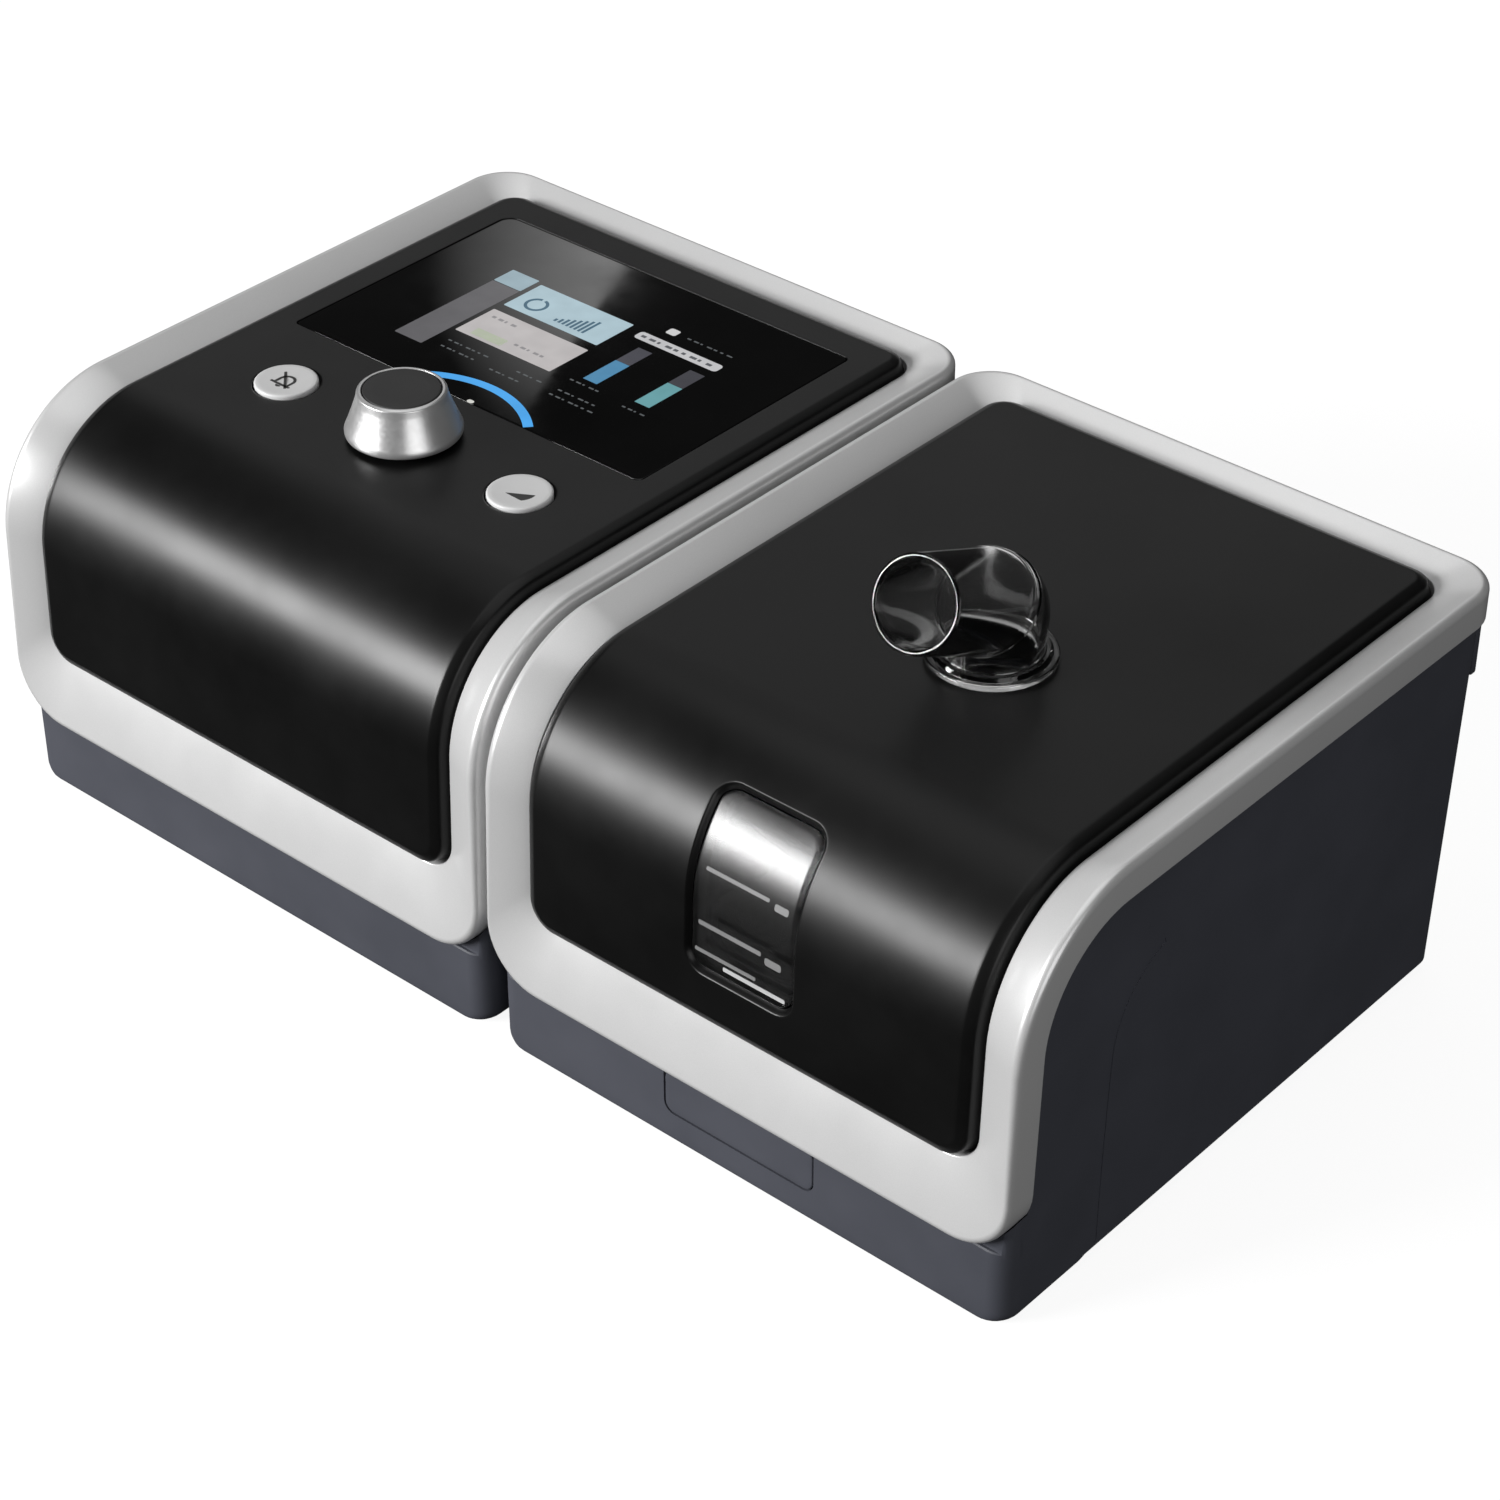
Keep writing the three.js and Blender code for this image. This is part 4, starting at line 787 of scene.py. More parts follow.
def side_groove(unit, side):
    """The thin styling line on a side wall: upright, then curving forwards at its top."""
    path = [(GROOVE_Y, 4.0), (GROOVE_Y + 0.2, 22.0), (GROOVE_Y + 0.7, 40.0)]
    for k in range(1, 27):
        turn = 0.05 * k
        y = GROOVE_Y + 22.7 - GROOVE_R * math.cos(turn)
        path.append((y, 50.0 + GROOVE_R * math.sin(turn)))
    rings = []
    for i, (y, z) in enumerate(path):
        back, on = path[max(i - 1, 0)], path[min(i + 1, len(path) - 1)]
        across = Vector((-(on[1] - back[1]), on[0] - back[0])).normalized() * GROOVE_HALF
        x = side_x(unit, z, side)
        rings.append([
            (x + side * out, y + turn * across.x, z + turn * across.y)
            for out, turn in ((-GROOVE_DEPTH, 1), (-GROOVE_DEPTH, -1), (2, -1), (2, 1))
        ])
    return bar(rings)


duct_low, duct_high = box_mm("outlet_duct")
PORT_Y = (duct_low.y + duct_high.y) / 2
PORT_Z = (duct_low.z + duct_high.z) / 2
PORT_R = (duct_high.z - duct_low.z) / 2
plug_low, plug_high = box_mm("dock_plug")


def casing(unit, prefix, dock, openings, groove_side):
    """A base with its cuts: for the plate and feet, at the dock, its own openings, its groove."""
    web_xs = (unit[0] + SIDE_INSET, unit[1] - SIDE_INSET - 15)
    form = boolean(base_form(unit), [corner_web(unit, x) for x in web_xs], "UNION")
    plate = opening(*box_mm(prefix + "_bottom_plate"), (0, 1), 0.3, 3.3)
    cuts = [prism(plate, -1, POCKET_Z)]
    for number in (1, 2):
        foot = middle_of(f"{prefix}_foot_{number}")
        cuts.append(prism(Circle(foot.x, foot.y, 6.8), -1, 2.8))
    cuts.append(prism(Circle(PORT_Y, PORT_Z, PORT_R + 0.8), *dock, along_x))
    cuts.append(prism(opening(plug_low, plug_high, (1, 2), 0.3, 1), *dock, along_x))
    return boolean(form, [*cuts, *openings, side_groove(unit, groove_side)])


filter_low, filter_high = box_mm("filter_cover")
power_low, power_high = box_mm("power_inlet")
card_low, card_high = box_mm("sd_card")
main_openings = [
    prism(opening(filter_low, filter_high, (0, 2), 0.3, 2.3), 60, BACK_Y, along_y),
    prism(opening(power_low, power_high, (0, 2), 0.3, 1), 60, BACK_Y, along_y),
    prism(opening(card_low, card_high, (1, 2), 1.1, 1), MAIN[0] - 1, MAIN[0] + 8, along_x),
]
main_casing = casing(MAIN, "main", (MAIN[1] - 8, MAIN[1] + 1), main_openings, -1)
finish_piece(
    "casing_main", main_casing, slate, "main_unit", ["main_base"], sharp=35
)

pin_low, pin_high = box_mm("hinge_pin_left")
HINGE_Y = (pin_low.y + pin_high.y) / 2
HINGE_Z = (pin_low.z + pin_high.z) / 2
HINGE_XS = [middle_of("hinge_pin_" + end).x for end in ("left", "right")]
SKIRT_Y = 77.6
SKIRT_LOW = 73.2
BEYOND = (90, 100)  # y and z behind and above the casings
tab_low, tab_high = box_mm("release_tab")
H0, H1 = HUMIDIFIER


def pin_holes():
    return [prism(Circle(HINGE_Y, HINGE_Z, 1.65, 32), x - 16, x + 16, along_x) for x in HINGE_XS]


tab_room = Rounded(tab_low.x - 0.3, tab_high.x + 0.3, tab_low.z - 0.3, 30, 2.8)
humidifier_openings = [
    prism(tab_room, -90, -75, along_y),
    block(H0 - 1, SKIRT_Y - 3.2, SKIRT_LOW - 0.6, H1 + 1, *BEYOND),
    block(H0 + 4.6, 65, 86.9, H1 - 4.6, *BEYOND),
    *[block(x - 14.4, HINGE_Y - 4.4, HINGE_Z - 4.4, x + 14.4, *BEYOND) for x in HINGE_XS],
]
ears = [block(x - 4, 71.5, HINGE_Z - 12, x + 4, HINGE_Y + 3, HINGE_Z + 2.4, 0.8) for x in HINGE_XS]
humidifier_casing = casing(HUMIDIFIER, "humidifier", (H0 - 1, H0 + 8), humidifier_openings, 1)
humidifier_casing = boolean(boolean(humidifier_casing, ears, "UNION"), pin_holes())
finish_piece(
    "casing_humidifier", humidifier_casing, slate, "humidifier",
    ["humidifier_base"], sharp=35,
)

# -------- small casing parts


def turned_foot(name, body):
    low, high = box_mm(name)
    radius = (high.x - low.x) / 2
    height = high.z - low.z
    corners = [
        (0, 0.5), (radius - 2.6, 0.5, 0.2), (radius - 2.0, 0, 0.2), (radius, 0, 0.7),
        (radius, height, 0.2), (0, height),
    ]
    mesh = turned_part(corners, ((low.x + high.x) / 2, (low.y + high.y) / 2, low.z), 48)
    finish_piece(name + "_pad", mesh, rubber, body, [name])


def cross_screw(name, body):
    low, high = box_mm(name)
    x, y = (low.x + high.x) / 2, (low.y + high.y) / 2
    radius = (high.x - low.x) / 2
    corners = [
        (0, 0), (radius - 0.5, 0, 0.4), (radius, 0.5, 0.3), (radius, 1.5), (1.3, 1.5),
        (1.3, high.z - low.z - 0.6), (0, high.z - low.z),
    ]
    arms = [
        block(x - a, y - b, low.z - 1, x + a, y + b, low.z + 0.8)
        for a, b in ((1.6, 0.3), (0.3, 1.6))
    ]
    mesh = boolean(turned_part(corners, (x, y, low.z), 40), arms)
    finish_piece(name + "_turned", mesh, steel, body, [name])


for prefix, body in (("main", "main_unit"), ("humidifier", "humidifier")):
    for number in range(1, 5):
        turned_foot(f"{prefix}_foot_{number}", body)
for screw in [n for n in frame["nodes"] if "_screw_" in n]:
    cross_screw(screw, "main_unit" if screw.startswith("main") else "humidifier")

FILTER_RIM = [(-1.6, 0), (-0.9, 0), (-0.45, -0.12), (-0.12, -0.45), (0, -0.9), (0, -4)]
SLOT_LIP = [(0.6, 0), (0.25, 0), (0.07, -0.07), (0, -0.25), (0, -4)]
filter_middle = middle_of("filter_cover")
slots = [
    Rounded(filter_middle.x - 12, filter_middle.x + 12, z - 1.1, z + 1.1, 1.05)
    for z in [filter_middle.z - 13 + 5.2 * k for k in range(6)]
]
grille = shell(
    opening(filter_low, filter_high, (0, 2), 0, 2), slots, FILTER_RIM, [SLOT_LIP] * len(slots),
    lambda a, b, h: (a, filter_high.y + h, b),
)
finish_piece("filter_grille", grille, slate, "filter_door", ["filter_cover"])

power = middle_of("power_inlet")
WELL_Y = power_high.y - 11
power_bore = prism(Circle(power.x, power.z, 3.3), WELL_Y, power_high.y + 1, along_y)
power_well = boolean(block(*power_low, *power_high, 0.5), [power_bore])
power_pin = turned_part(
    [(0, -1), (1.1, -1), (1.1, 9, 0.8), (0, 9)], (power.x, WELL_Y, power.z), 32, axis=(0, 1, 0)
)
finish_piece(
    "power_socket", joined([power_well, power_pin]), dark_plastic, "main_unit",
    ["power_inlet"],
)

grips = [
    block(
        card_low.x + 1.2 + k, card_low.y + 3, card_high.z - 0.2,
        card_low.x + 1.6 + k, card_high.y - 3, card_high.z + 1,
    )
    for k in range(3)
]
finish_piece(
    "memory_card_shell", boolean(block(*card_low, *card_high, 0.25), grips), dark_plastic,
    "memory_card", ["sd_card"],
)

duct_length = duct_high.x - duct_low.x
duct_profile = filleted([
    (PORT_R - 1.8, 0), (PORT_R, 0, 0.4), (PORT_R, duct_length - 5, 0.1),
    (PORT_R - 0.5, duct_length - 4.6, 0.1), (PORT_R - 0.5, duct_length - 3.2, 0.1),
    (PORT_R, duct_length - 2.8, 0.1), (PORT_R, duct_length - 0.8, 0.5),
    (PORT_R - 0.8, duct_length, 0.3), (PORT_R - 1.8, duct_length, 0.3),
])
duct = lathe([*duct_profile, duct_profile[0]], (duct_low.x, PORT_Y, PORT_Z), axis=(1, 0, 0))
finish_piece("air_duct", duct, dark_plastic, "main_unit", ["outlet_duct"])

TAB_RIM = [(-1.4, 0), (-0.6, 0), (-0.2, -0.06), (-0.05, -0.2), (0, -0.5), (0, -2.4)]
tab_x = middle_of("release_tab").x
tab_face = shell(
    opening(tab_low, tab_high, (0, 2), 0, 2.5), [], TAB_RIM, [],
    lambda a, b, h: (a, tab_low.y - h, b),
)
tab_boss = block(tab_x - 10, tab_low.y + 2.2, 9.6, tab_x + 10, tab_high.y, 13.6, 0.3)
finish_piece(
    "latch_tab", boolean(tab_face, [tab_boss], "UNION"), slate, "release_tab",
    ["release_tab"],
)

# -------- lid underside and hinge

LINER_LIP = [(0.3, FRAME_SEAT), (0, FRAME_SEAT - 0.3), (0, FRAME_SEAT - 1.6)]
LINER_RIM = [(-1, FRAME_SEAT), (-0.3, FRAME_SEAT), *LINER_LIP[1:]]
SEAT_Z = TOP_Z + FRAME_SEAT
liner_outline = Rounded(H0 + 6, H1 - 6, 22, SKIN_LENGTH - 9.2, 6, bend_between(30, 130))
liner = shell(
    liner_outline, lid_holes, LINER_RIM, [LINER_LIP] * 2, skin_point, cover_grid(liner_outline)
)
knuckle_xs = [x + shift for x in HINGE_XS for shift in (-9, 9)]
liner = boolean(
    liner,
    [
        block(H0 + 3.2, SKIRT_Y, SKIRT_LOW, H1 - 3.2, SKIRT_Y + 2.2, SEAT_Z, 0.5),
        block(H0 + 12, 70, SEAT_Z - 1.6, H1 - 12, SKIRT_Y + 1, SEAT_Z),
        *[
            block(x - 4.6, HINGE_Y - 3, HINGE_Z - 3, x + 4.6, HINGE_Y + 3, SKIRT_LOW + 1.6, 0.8)
            for x in knuckle_xs
        ],
    ],
    "UNION",
)
ear_room = [
    block(x - 4.4, SKIRT_Y - 1, SKIRT_LOW - 1, x + 4.4, BEYOND[0], HINGE_Z + 4.6) for x in HINGE_XS
]
liner = boolean(liner, [*ear_room, *pin_holes()])
finish_piece("lid_underside", liner, slate, "lid", ["lid_liner"], sharp=35)

for end in ("left", "right"):
    low, high = box_mm("hinge_pin_" + end)
    length = high.x - low.x
    rod = turned_part(
        [(0, 0), (1.5, 0, 0.5), (1.5, length, 0.5), (0, length)], (low.x, HINGE_Y, HINGE_Z), 32,
        axis=(1, 0, 0),
    )
    finish_piece("hinge_rod_" + end, rod, steel, "humidifier", ["hinge_pin_" + end])

# -------- knob and buttons

knob_low, knob_high = box_mm("knob_body")
cap_low, cap_high = box_mm("knob_cap")
KNOB_R = (knob_high.x - knob_low.x) / 2
CAP_R = (cap_high.x - cap_low.x) / 2
KNOB_HEIGHT = knob_high.z - knob_low.z
CAP_HEIGHT = cap_high.z - cap_low.z


def knob_profile():
    """A bell: a rounded foot, a hollow flank, and a shoulder round the recess for the cap."""
    foot, neck = (KNOB_R - 0.15, 1.3), (CAP_R + 1.55, KNOB_HEIGHT - 1.7)
    pull = (CAP_R + 2.6, 5.6)
    corners = [(3.3, 0.4), (6.5, 0), (KNOB_R - 0.2, 0, 0.7, 8)]
    for k in range(13):
        t = k / 12
        corners.append(tuple(
            (1 - t) ** 2 * f + 2 * t * (1 - t) * p + t * t * n for f, p, n in zip(foot, pull, neck)
        ))
    corners += [
        (CAP_R + 1.3, KNOB_HEIGHT - 0.35, 0.5), (CAP_R + 0.75, KNOB_HEIGHT, 0.35),
        (CAP_R + 0.25, KNOB_HEIGHT, 0.15), (CAP_R + 0.2, KNOB_HEIGHT - 2.5),
        (3.3, KNOB_HEIGHT - 2.5),
    ]
    profile = filleted(corners)
    return [*profile, profile[0]]


finish_piece(
    "knob_bell", lathe(knob_profile(), (knob.x, knob.y, knob_low.z), 160), knob_silver, "knob",
    ["knob_body"], sharp=40,
)
cap_corners = [
    (0, 0), (CAP_R, 0), (CAP_R, CAP_HEIGHT - 0.05, 0.35), (CAP_R - 2.5, CAP_HEIGHT, 1),
    (0, CAP_HEIGHT - 0.15),
]
cap_black = moulded("cap_black", grey(0.018), grey(0.022), 0.6, grain=2.5, bump=0.1)
finish_piece(
    "knob_cap_disc", turned_part(cap_corners, (knob.x, knob.y, cap_low.z), 120), cap_black,
    "knob", ["knob_cap"],
)


def flat_print(name, outlines, z, material, body="main_unit", thick=0.04):
    """Printed or lit marks: thin plates that lie on a level surface."""
    plates = [prism(outline, z, z + thick) for outline in outlines]
    return finish_piece(name, joined(plates), material, body)


def ribbon(path, width):
    """The outline of a stroke of even width along a path."""
    left, right = [], []
    for i, point in enumerate(path):
        on, back = Vector(path[min(i + 1, len(path) - 1)]), Vector(path[max(i - 1, 0)])
        across = Vector((-(on.y - back.y), on.x - back.x)).normalized() * width / 2
        left.append(tuple(Vector(point) + across))
        right.append(tuple(Vector(point) - across))
    return left + right[::-1]


def arc_path(a, b, radius, start, end, steps=24):
    turn = [math.radians(start + (end - start) * k / steps) for k in range(steps + 1)]
    return [(a + radius * math.cos(t), b + radius * math.sin(t)) for t in turn]


for prefix, spot in (("mute", mute), ("ramp", ramp)):
    name = prefix + "_button"
    low, high = box_mm(name)
    height = high.z - low.z
    corners = [
        (0, 0), (2, 0), (2, 2), (BUTTON_R, 2), (BUTTON_R, height - 0.02, 0.5),
        (BUTTON_R - 1.2, height, 0.6), (0, height - 0.22),
    ]
    key = turned_part(corners, (spot.x, spot.y, low.z), 96)
    finish_piece(prefix + "_key", key, button_grey, name, [name])

STROKE = 0.65
ICON_THICK = 0.08
PRINT_Z = button_high.z - 0.16
bell_x, bell_y = mute.x + 0.2, mute.y - 0.9
dome = arc_path(bell_x, bell_y + 0.8, 1.9, 180, 0)
bell = [
    ribbon([(bell_x - 1.9, bell_y - 0.9), (bell_x - 1.9, bell_y + 0.8), *dome,
            (bell_x + 1.9, bell_y - 0.9)], STROKE),
    ribbon([(bell_x - 3.0, bell_y - 1.2), (bell_x + 3.0, bell_y - 1.2)], STROKE),
    arc_path(bell_x, bell_y - 1.7, 0.75, 180, 360, 12),
    ribbon([(bell_x - 3.2, bell_y + 3.6), (bell_x + 3.4, bell_y - 3.0)], STROKE),
]
wedge = [(ramp.x - 2.0, ramp.y - 2.4), (ramp.x + 5.0, ramp.y - 2.7), (ramp.x + 4.6, ramp.y + 1.5)]
for prefix, outlines in (("mute", bell), ("ramp", [wedge])):
    flat_print(
        prefix + "_icon", outlines, PRINT_Z, icon_dark, prefix + "_button",
        ICON_THICK,
    )

# -------- screen

GLASS_TOP = glass_high.z
GLASS_EDGE = 0.25
glass_rim = [(-GLASS_EDGE * 1.6, GLASS_TOP)]
for k in range(4):
    angle = 0.5 * math.pi * k / 3
    glass_rim.append(
        (-GLASS_EDGE * (1 - math.sin(angle)), GLASS_TOP - GLASS_EDGE * (1 - math.cos(angle)))
    )
glass_outline = Rounded(glass_low.x, glass_high.x, glass_low.y, glass_high.y, GLASS_CORNERS)
glass_piece = finish_piece(
    "screen_pane", shell(glass_outline, [], [*glass_rim, (0, glass_low.z)], [], upright),
    glass_black, "main_unit", ["screen_glass"],
)


def tile(x0, x1, y0, y1, radius=0.3):
    return Rounded(x0, x1, y0, y1, radius)


def dashes(x0, x1, y, count, height=0.45):
    """A line of small print, as dashes of uneven length."""
    step = (x1 - x0) / count
    lengths = [0.55 + 0.25 * math.sin(2.4 * k) for k in range(count)]
    return [
        tile(x0 + k * step, x0 + (k + long) * step, y - height / 2, y + height / 2, 0.1)
        for k, long in enumerate(lengths)
    ]


# The graphics on the glass, then those that lie on them: a colour and the outlines of each.
layers = {
    "menu_bar": ((96, 95, 98), [tile(-104.3, -95.7, 4.9, 37.3)]),
    "menu_key": ((150, 172, 182), [tile(-104.3, -95.7, 37.6, 44.2)]),
    "usage_tile": ((168, 192, 202), [tile(-94.1, -64.6, 30.4, 43.1)]),
    "report_tile": ((186, 182, 182), [tile(-94.3, -64.4, 14.6, 27.5)]),
    "report_level": ((150, 182, 118), [tile(-90.6, -81.1, 15.6, 18.6)]),
    "label_strip": ((196, 196, 198), [tile(-61.1, -36.0, 38.9, 42.2, 1.0)]),
    "status_mark": ((205, 205, 205), [tile(-56.9, -54.0, 45.2, 47.8, 0.6)]),
    "pressure_bar": ((74, 134, 172), [tile(-56.6, -52.4, 17.4, 28.3, 0.1)]),
    "pressure_rest": ((70, 70, 78), [tile(-56.6, -52.4, 28.4, 36.0, 0.1)]),
    "flow_bar": ((104, 160, 166), [tile(-40.8, -36.4, 17.3, 28.4, 0.1)]),
    "flow_rest": ((66, 66, 72), [tile(-40.8, -36.4, 28.5, 36.0, 0.1)]),
    "small_print": (
        (88, 92, 94),
        dashes(-92, -79, 10.2, 7) + dashes(-91.5, -80, 7.2, 6) + dashes(-75.5, -65.5, 6.6, 5)
        + dashes(-70, -61.8, 9.8, 4) + dashes(-58.5, -48.9, 15.2, 5) + dashes(-57.3, -45, 10, 6)
        + dashes(-57.6, -44, 7.4, 7) + dashes(-51, -37, 46.5, 7) + dashes(-41.5, -34.4, 14, 4),
    ),
}
usage_ring = ribbon(arc_path(-88.2, 35.3, 2.6, 100, 440, 40), 0.8)
usage_bars = [
    tile(-80.2 + 1.25 * k, -79.5 + 1.25 * k, 32.4, 33.6 + 0.75 * k, 0.05) for k in range(8)
]
upper_layers = {
    "usage_marks": ((62, 98, 118), [usage_ring, *usage_bars]),
    "report_marks": (
        (140, 138, 140), dashes(-92, -84, 24.6, 4, 0.9) + dashes(-79, -69, 18.4, 5, 0.8)
    ),
    "label_marks": ((92, 94, 98), dashes(-59.8, -37.5, 40.5, 9, 0.9)),
}
screen_pieces = [glass_piece]
for z, table in ((GLASS_TOP, layers), (GLASS_TOP + 0.04, upper_layers)):
    for name, (colour, outlines) in table.items():
        screen_pieces.append(flat_print(name, outlines, z, lit(name, *colour)))

LIGHT_R = 27.2
light_arc = ribbon(arc_path(knob.x, knob.y, LIGHT_R, 48, 132, 60), 2.3)
arc_light = flat_print(
    "knob_light_arc", [light_arc], GLASS_TOP, lit("arc_blue", 74, 168, 240)
)
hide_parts("light_guide")
knob_mark = tile(knob.x - 0.2, knob.x + 1.6, knob.y + 19.3, knob.y + 20.5, 0.55)
mark_white = lit("mark_white", 215, 215, 210)
screen_pieces += [arc_light, flat_print("knob_mark", [knob_mark], GLASS_TOP, mark_white)]

# -------- elbow

FLANGE_Z = COVER_Z + 0.3
FLANGE_HEIGHT = 2.4
FLANGE_R = 13.8
BORE_R = 9.7
MOUTH_R = 10.1
MOUTH_BORE_R = 8.8
BEND_HEIGHT = 13
REACH = 30.5
OUTLET = Vector((0.049, -0.888, 0.435)).normalized()
SWELL = 0.07  # how much wider the middle of the bend is than its ends
SEGMENTS = 96


def elbow_mesh():
    """A moulded elbow: an upright run, a bend that swells a little, and a tapering outlet."""
    up = Vector((0, 0, 1))
    foot = Vector((gasket.x, gasket.y, box_mm("elbow")[0].z))
    corner = Vector((gasket.x, gasket.y, COVER_Z + BEND_HEIGHT))
    mouth = corner + OUTLET * REACH
    across = up.cross(OUTLET).normalized()
    turn = up.angle(OUTLET)

    def ring(centre, direction, radius):
        side = across.cross(direction).normalized()
        angles = [2 * math.pi * k / SEGMENTS for k in range(SEGMENTS)]
        return [centre + (side * math.cos(t) + across * math.sin(t)) * radius for t in angles]

    def bend_ring(share, radius, dent=0.0):
        """A section of the bend, all of which meet at its crotch."""
        inward = (across.cross(up) + across.cross(OUTLET)).normalized()
        crotch = corner + inward * (radius / math.cos(turn / 2))
        direction = Quaternion(across, turn * share) @ up
        wide = radius * (1 + SWELL * math.sin(math.pi * share))
        centre = crotch - across.cross(direction).normalized() * wide
        return ring(centre, direction, wide - dent)

    flange = FLANGE_Z - foot.z
    step = flange + FLANGE_HEIGHT * 0.62
    top = flange + FLANGE_HEIGHT
    run = [
        (ELBOW_R - 0.3, 0), (ELBOW_R, 0.3), (ELBOW_R, flange), (FLANGE_R, flange, 0.5),
        (FLANGE_R, step, 0.5), (FLANGE_R - 1.3, step, 0.2), (ELBOW_R + 1.0, top, 0.3),
        (ELBOW_R, top, 0.3), (ELBOW_R, top + 1),
    ]
    rings = [ring(foot + up * z, up, r) for r, z in filleted(run, closed=False)]
    rings += [bend_ring(k / 12, ELBOW_R) for k in range(9)]
    rings += [bend_ring(share, ELBOW_R, 0.3) for share in (0.69, 0.72)]
    rings += [bend_ring(share, ELBOW_R) for share in (0.75, 0.83, 0.92, 1.0)]
    lip = (MOUTH_R - MOUTH_BORE_R) / 2
    for k in range(9):
        angle = math.pi * k / 8
        back = OUTLET * lip * (1 - math.sin(angle) ** 0.6)
        rings.append(ring(mouth - back, OUTLET, MOUTH_BORE_R + lip * (1 + math.cos(angle))))
    rings += [bend_ring(1 - k / 12, BORE_R) for k in range(13)]
    rings.append(ring(foot + up * 0.2, up, BORE_R))
    return tube(rings)


finish_piece("outlet_elbow", elbow_mesh(), clear, "elbow", ["elbow"], sharp=26)

# -------- window and water chamber

WINDOW_RIM = [
    (-1.9, -1.1), (-1.2, -1.1), (-0.9, -1.13), (-0.6, -1.3), (-0.4, -1.6), (-0.35, -2.0),
    (-0.35, -2.9),
]
finish_piece(
    "level_window_pane", shell(WINDOW, [], WINDOW_RIM, [], skin_point, cover_grid(WINDOW)),
    window_clear, "lid", ["level_window"],
)

chamber_low, chamber_high = box_mm("water_chamber")
CHAMBER_TOP = chamber_low.z + 54
CHAMBER_WALL = 2.0
SHOULDER_R = 3
chamber_rim = [(-5, CHAMBER_TOP)]
for k in range(7):
    drop = SHOULDER_R * (1 - math.cos(0.26 * k))
    chamber_rim.append((-SHOULDER_R * (1 - math.sin(0.26 * k)), CHAMBER_TOP - drop))
chamber_rim += [
    (0, chamber_low.z), (-CHAMBER_WALL, chamber_low.z), (-CHAMBER_WALL, CHAMBER_TOP - 4),
    (-CHAMBER_WALL - 0.6, CHAMBER_TOP - 2.6), (-5, CHAMBER_TOP - CHAMBER_WALL),
]
collar = [
    (ELBOW_R + 1, CHAMBER_TOP), (ELBOW_R, CHAMBER_TOP + 0.8), (ELBOW_R, chamber_high.z - 0.3),
    (ELBOW_R - 0.3, chamber_high.z), (BORE_R, chamber_high.z), (BORE_R, CHAMBER_TOP - CHAMBER_WALL),
]
tank = shell(
    opening(chamber_low, chamber_high, (0, 1), 0, 16), [Circle(gasket.x, gasket.y, 0, 72)],
    chamber_rim, [collar], upright,
)
inlet = prism(Circle(PORT_Y, PORT_Z + 24, 7.3), chamber_low.x - 1, chamber_low.x + 5, along_x)
finish_piece(
    "water_tank", boolean(tank, [inlet]), chamber_clear, "humidifier",
    ["water_chamber"],
)


def window_line(x0, x1, s, width):
    """A pale line across the window, following its curve: it draws the printed lines, and also the
    painted highlight and painted reflection drawn among them.
    """
    line = Rounded(x0, x1, s - width / 2, s + width / 2, width * 0.3)
    return shell(line, [], [(0, -1.05), (0, -1.2)], [], skin_point)


# The long lines and the short mark right of the top line are print; the wide short mark right of
# the second line is a painted highlight.
marks = [
    window_line(*mark) for mark in (
        (65.8, 82, 55.5, 0.9), (83.5, 87, 54.8, 1.6), (65, 81.2, 42.4, 1.1),
        (82.2, 86.4, 41.3, 1.8), (64.2, 80, 35.6, 0.9),
    )
]
print_and_highlight_grey = moulded("window_print_and_highlight_grey", grey(0.16), grey(0.22), 0.5, bump=0.05)
finish_piece("window_print_and_highlight", joined(marks), print_and_highlight_grey, "lid")
# The bright lowest line is a painted reflection: a pale strip standing in for the heater plate's
# edge shining through the window, not a printed mark.
lowest = window_line(71.6, 87.6, 33.9, 1.0)
painted_reflection_grey = moulded("painted_heater_reflection", grey(0.42), grey(0.5), 0.5, bump=0.05)
finish_piece("lowest_painted_reflection", lowest, painted_reflection_grey, "lid")

# -------- inner parts keep their CAD shape

slot_of = {part["node"]: part["material_slot"] for part in frame["record"]["subparts"]}
finishes = {
    "silver_frame": silver, "black_cover": dark_plastic, "slate_casing": slate,
    "screen_glass": glass_black, "display": white_plastic, "blue_light": clear,
    "button_grey": button_grey, "clear_plastic": clear, "rubber": rubber, "steel": steel,
    "aluminium_plate": aluminium, "copper_winding": copper, "circuit_board": board_green,
    "white_plastic": white_plastic, "filter_foam": foam,
}
for node, item in frame["nodes"].items():
    item.data.materials.clear()
    item.data.materials.append(finishes[slot_of[node]])

# -------- stage

scene = bpy.context.scene
AIM = Vector((0, 0, 0.05))
WORLD_LIGHT = 0.03
FLOOR_HALF = 8000


def area_light(name, position, size, strength):
    light = bpy.data.lights.new(name, "AREA")
    light.shape = "RECTANGLE"
    light.size, light.size_y = size
    light.energy = strength
    lamp = bpy.data.objects.new(name, light)
    lamp.location = position
    lamp.rotation_euler = (Vector(position) - AIM).to_track_quat("Z", "Y").to_euler()
    scene.collection.objects.link(lamp)
    return lamp


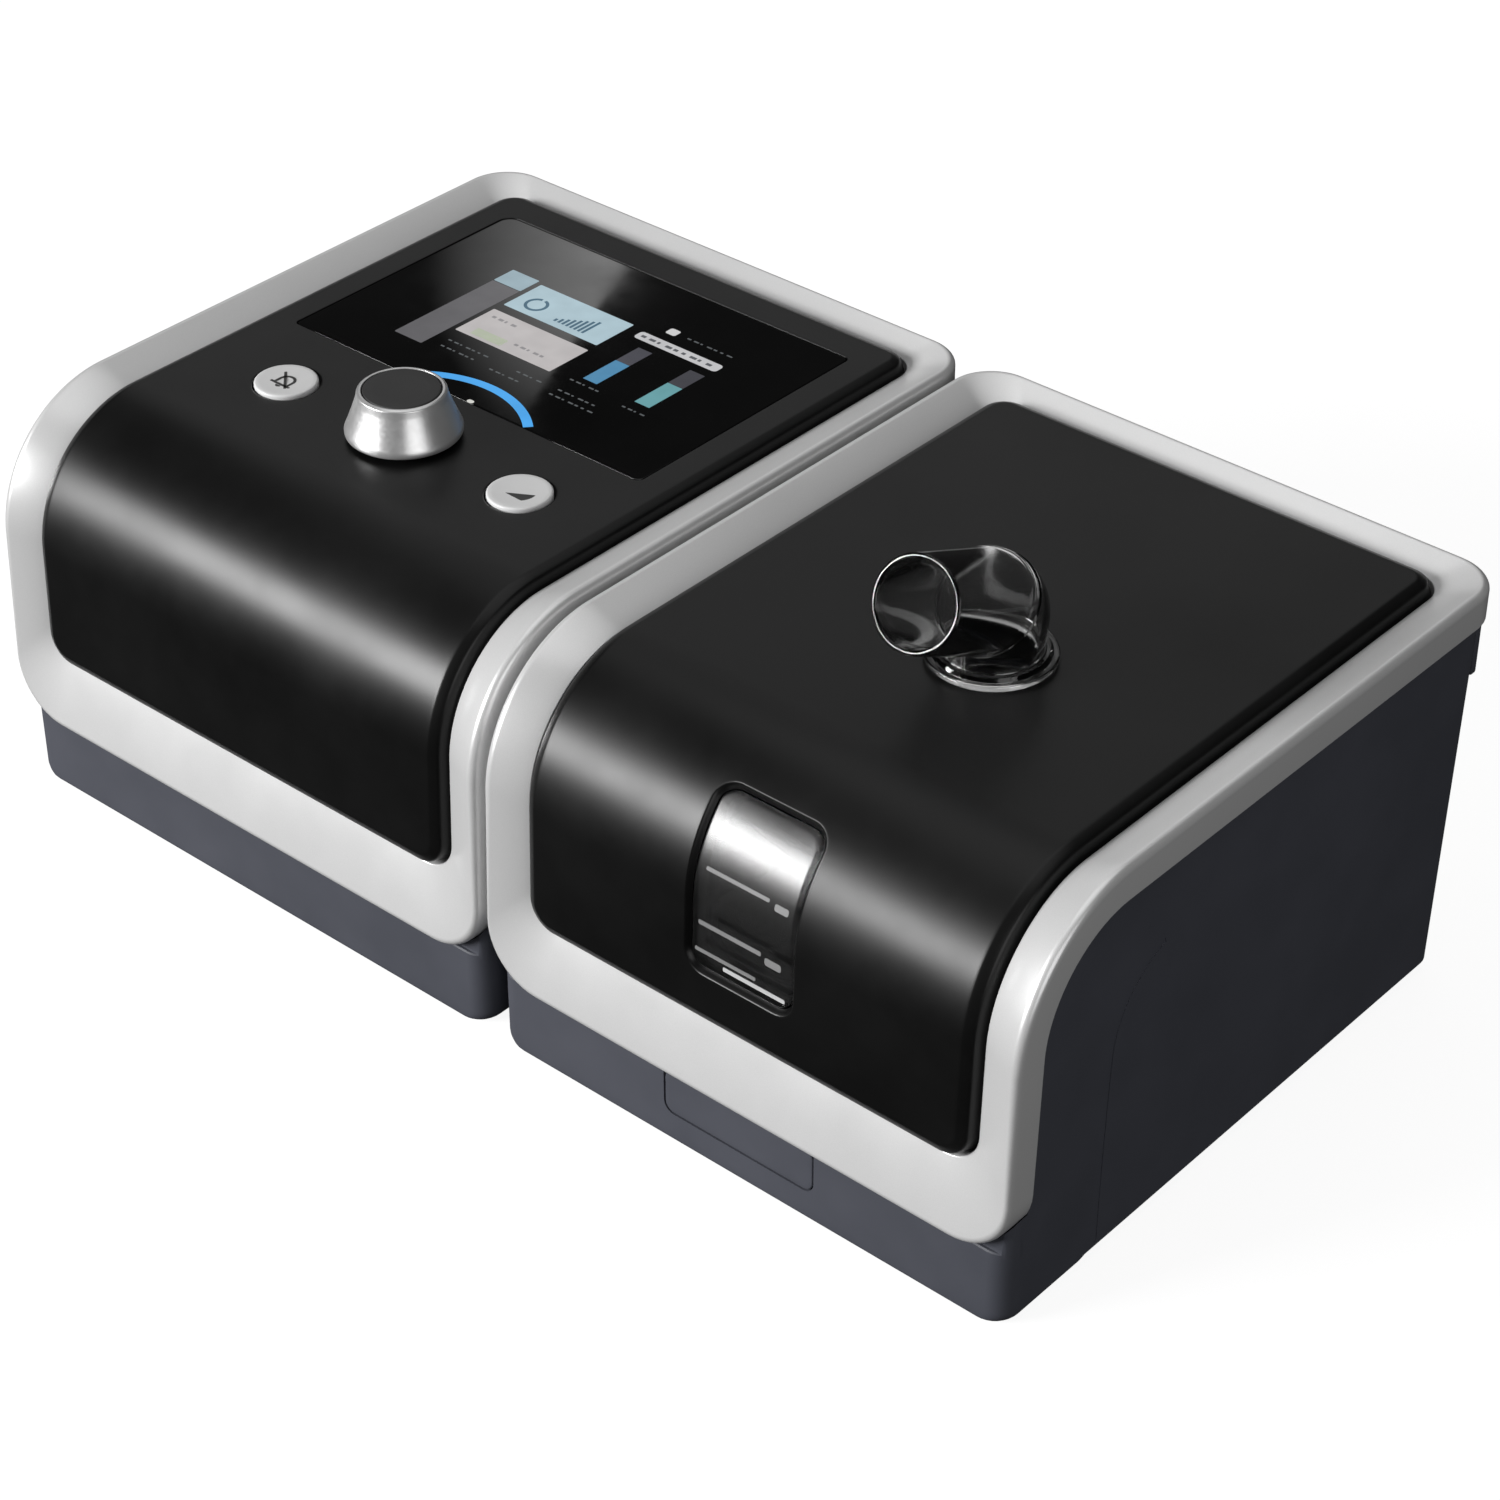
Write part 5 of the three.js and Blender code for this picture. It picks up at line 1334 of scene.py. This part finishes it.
def light_for(lamp, items, state):
    """Makes a light shine only on some pieces (INCLUDE) or on all but them (EXCLUDE)."""
    group = bpy.data.collections.new(lamp.name + "_receivers")
    for item in items:
        group.objects.link(item)
    lamp.light_linking.receiver_collection = group
    for entry in group.collection_objects:
        entry.light_linking.link_state = state


floor = bpy.data.objects.new(
    "floor", block(-FLOOR_HALF, -FLOOR_HALF, -2, FLOOR_HALF, FLOOR_HALF, 0)
)
floor_look = Look(
    "studio_floor", Base_Color=grey(0.16), Roughness=0.9,
    Emission_Color=(1, 1, 1), Emission_Strength=0.91,
)
floor.data.materials.append(floor_look.material)
scene.collection.objects.link(floor)
floor.visible_glossy = False
floor.visible_diffuse = False

world = bpy.data.worlds.new("studio")
scene.world = world
world.use_nodes = True
background = world.node_tree.nodes["Background"]
background.inputs["Color"].default_value = (1, 1, 1, 1)
background.inputs["Strength"].default_value = WORLD_LIGHT

lens = bpy.data.cameras.new("camera")
lens.lens = 88.92
lens.sensor_width = 36
lens.clip_start = 0.01
lens.clip_end = 50
camera = bpy.data.objects.new("camera", lens)
azimuth, elevation = math.radians(41.03), math.radians(35.395)
camera.location = Vector((450.4, -507.9, 512.0)) * MM
camera.rotation_euler = (math.pi / 2 - elevation, 0, azimuth)
scene.collection.objects.link(camera)
scene.camera = camera
scene.view_settings.view_transform = "Standard"

area_light("key", (-1.32, -2.0, 0.84), (1.3, 0.75), 102)
area_light("top", (-0.1, 0.15, 1.6), (1.5, 1.5), 7)
area_light("side", (1.2, -0.5, 0.5), (0.9, 0.9), 5.5)
back = area_light("back", (-0.9, 1.03, 1.0), (1.3, 1.0), 1.9)
light_for(back, screen_pieces, "EXCLUDE")
# A small card over the back left shows in the glass as a wedge with one slanting edge.
card = area_light("card", (-1.226, 1.140, 0.921), (0.16, 0.3), 0.00028)
card_edge = Vector((-0.175, -0.679, 0.711))
card_away = Vector((-0.6045, 0.6438, 0.4688)).normalized()
card_across = card_edge.cross(card_away).normalized()
card_turn = Matrix((card_across, card_away.cross(card_across), card_away)).transposed()
card.rotation_euler = card_turn.to_euler()
card.data.spread = math.radians(6)
light_for(card, screen_pieces, "INCLUDE")
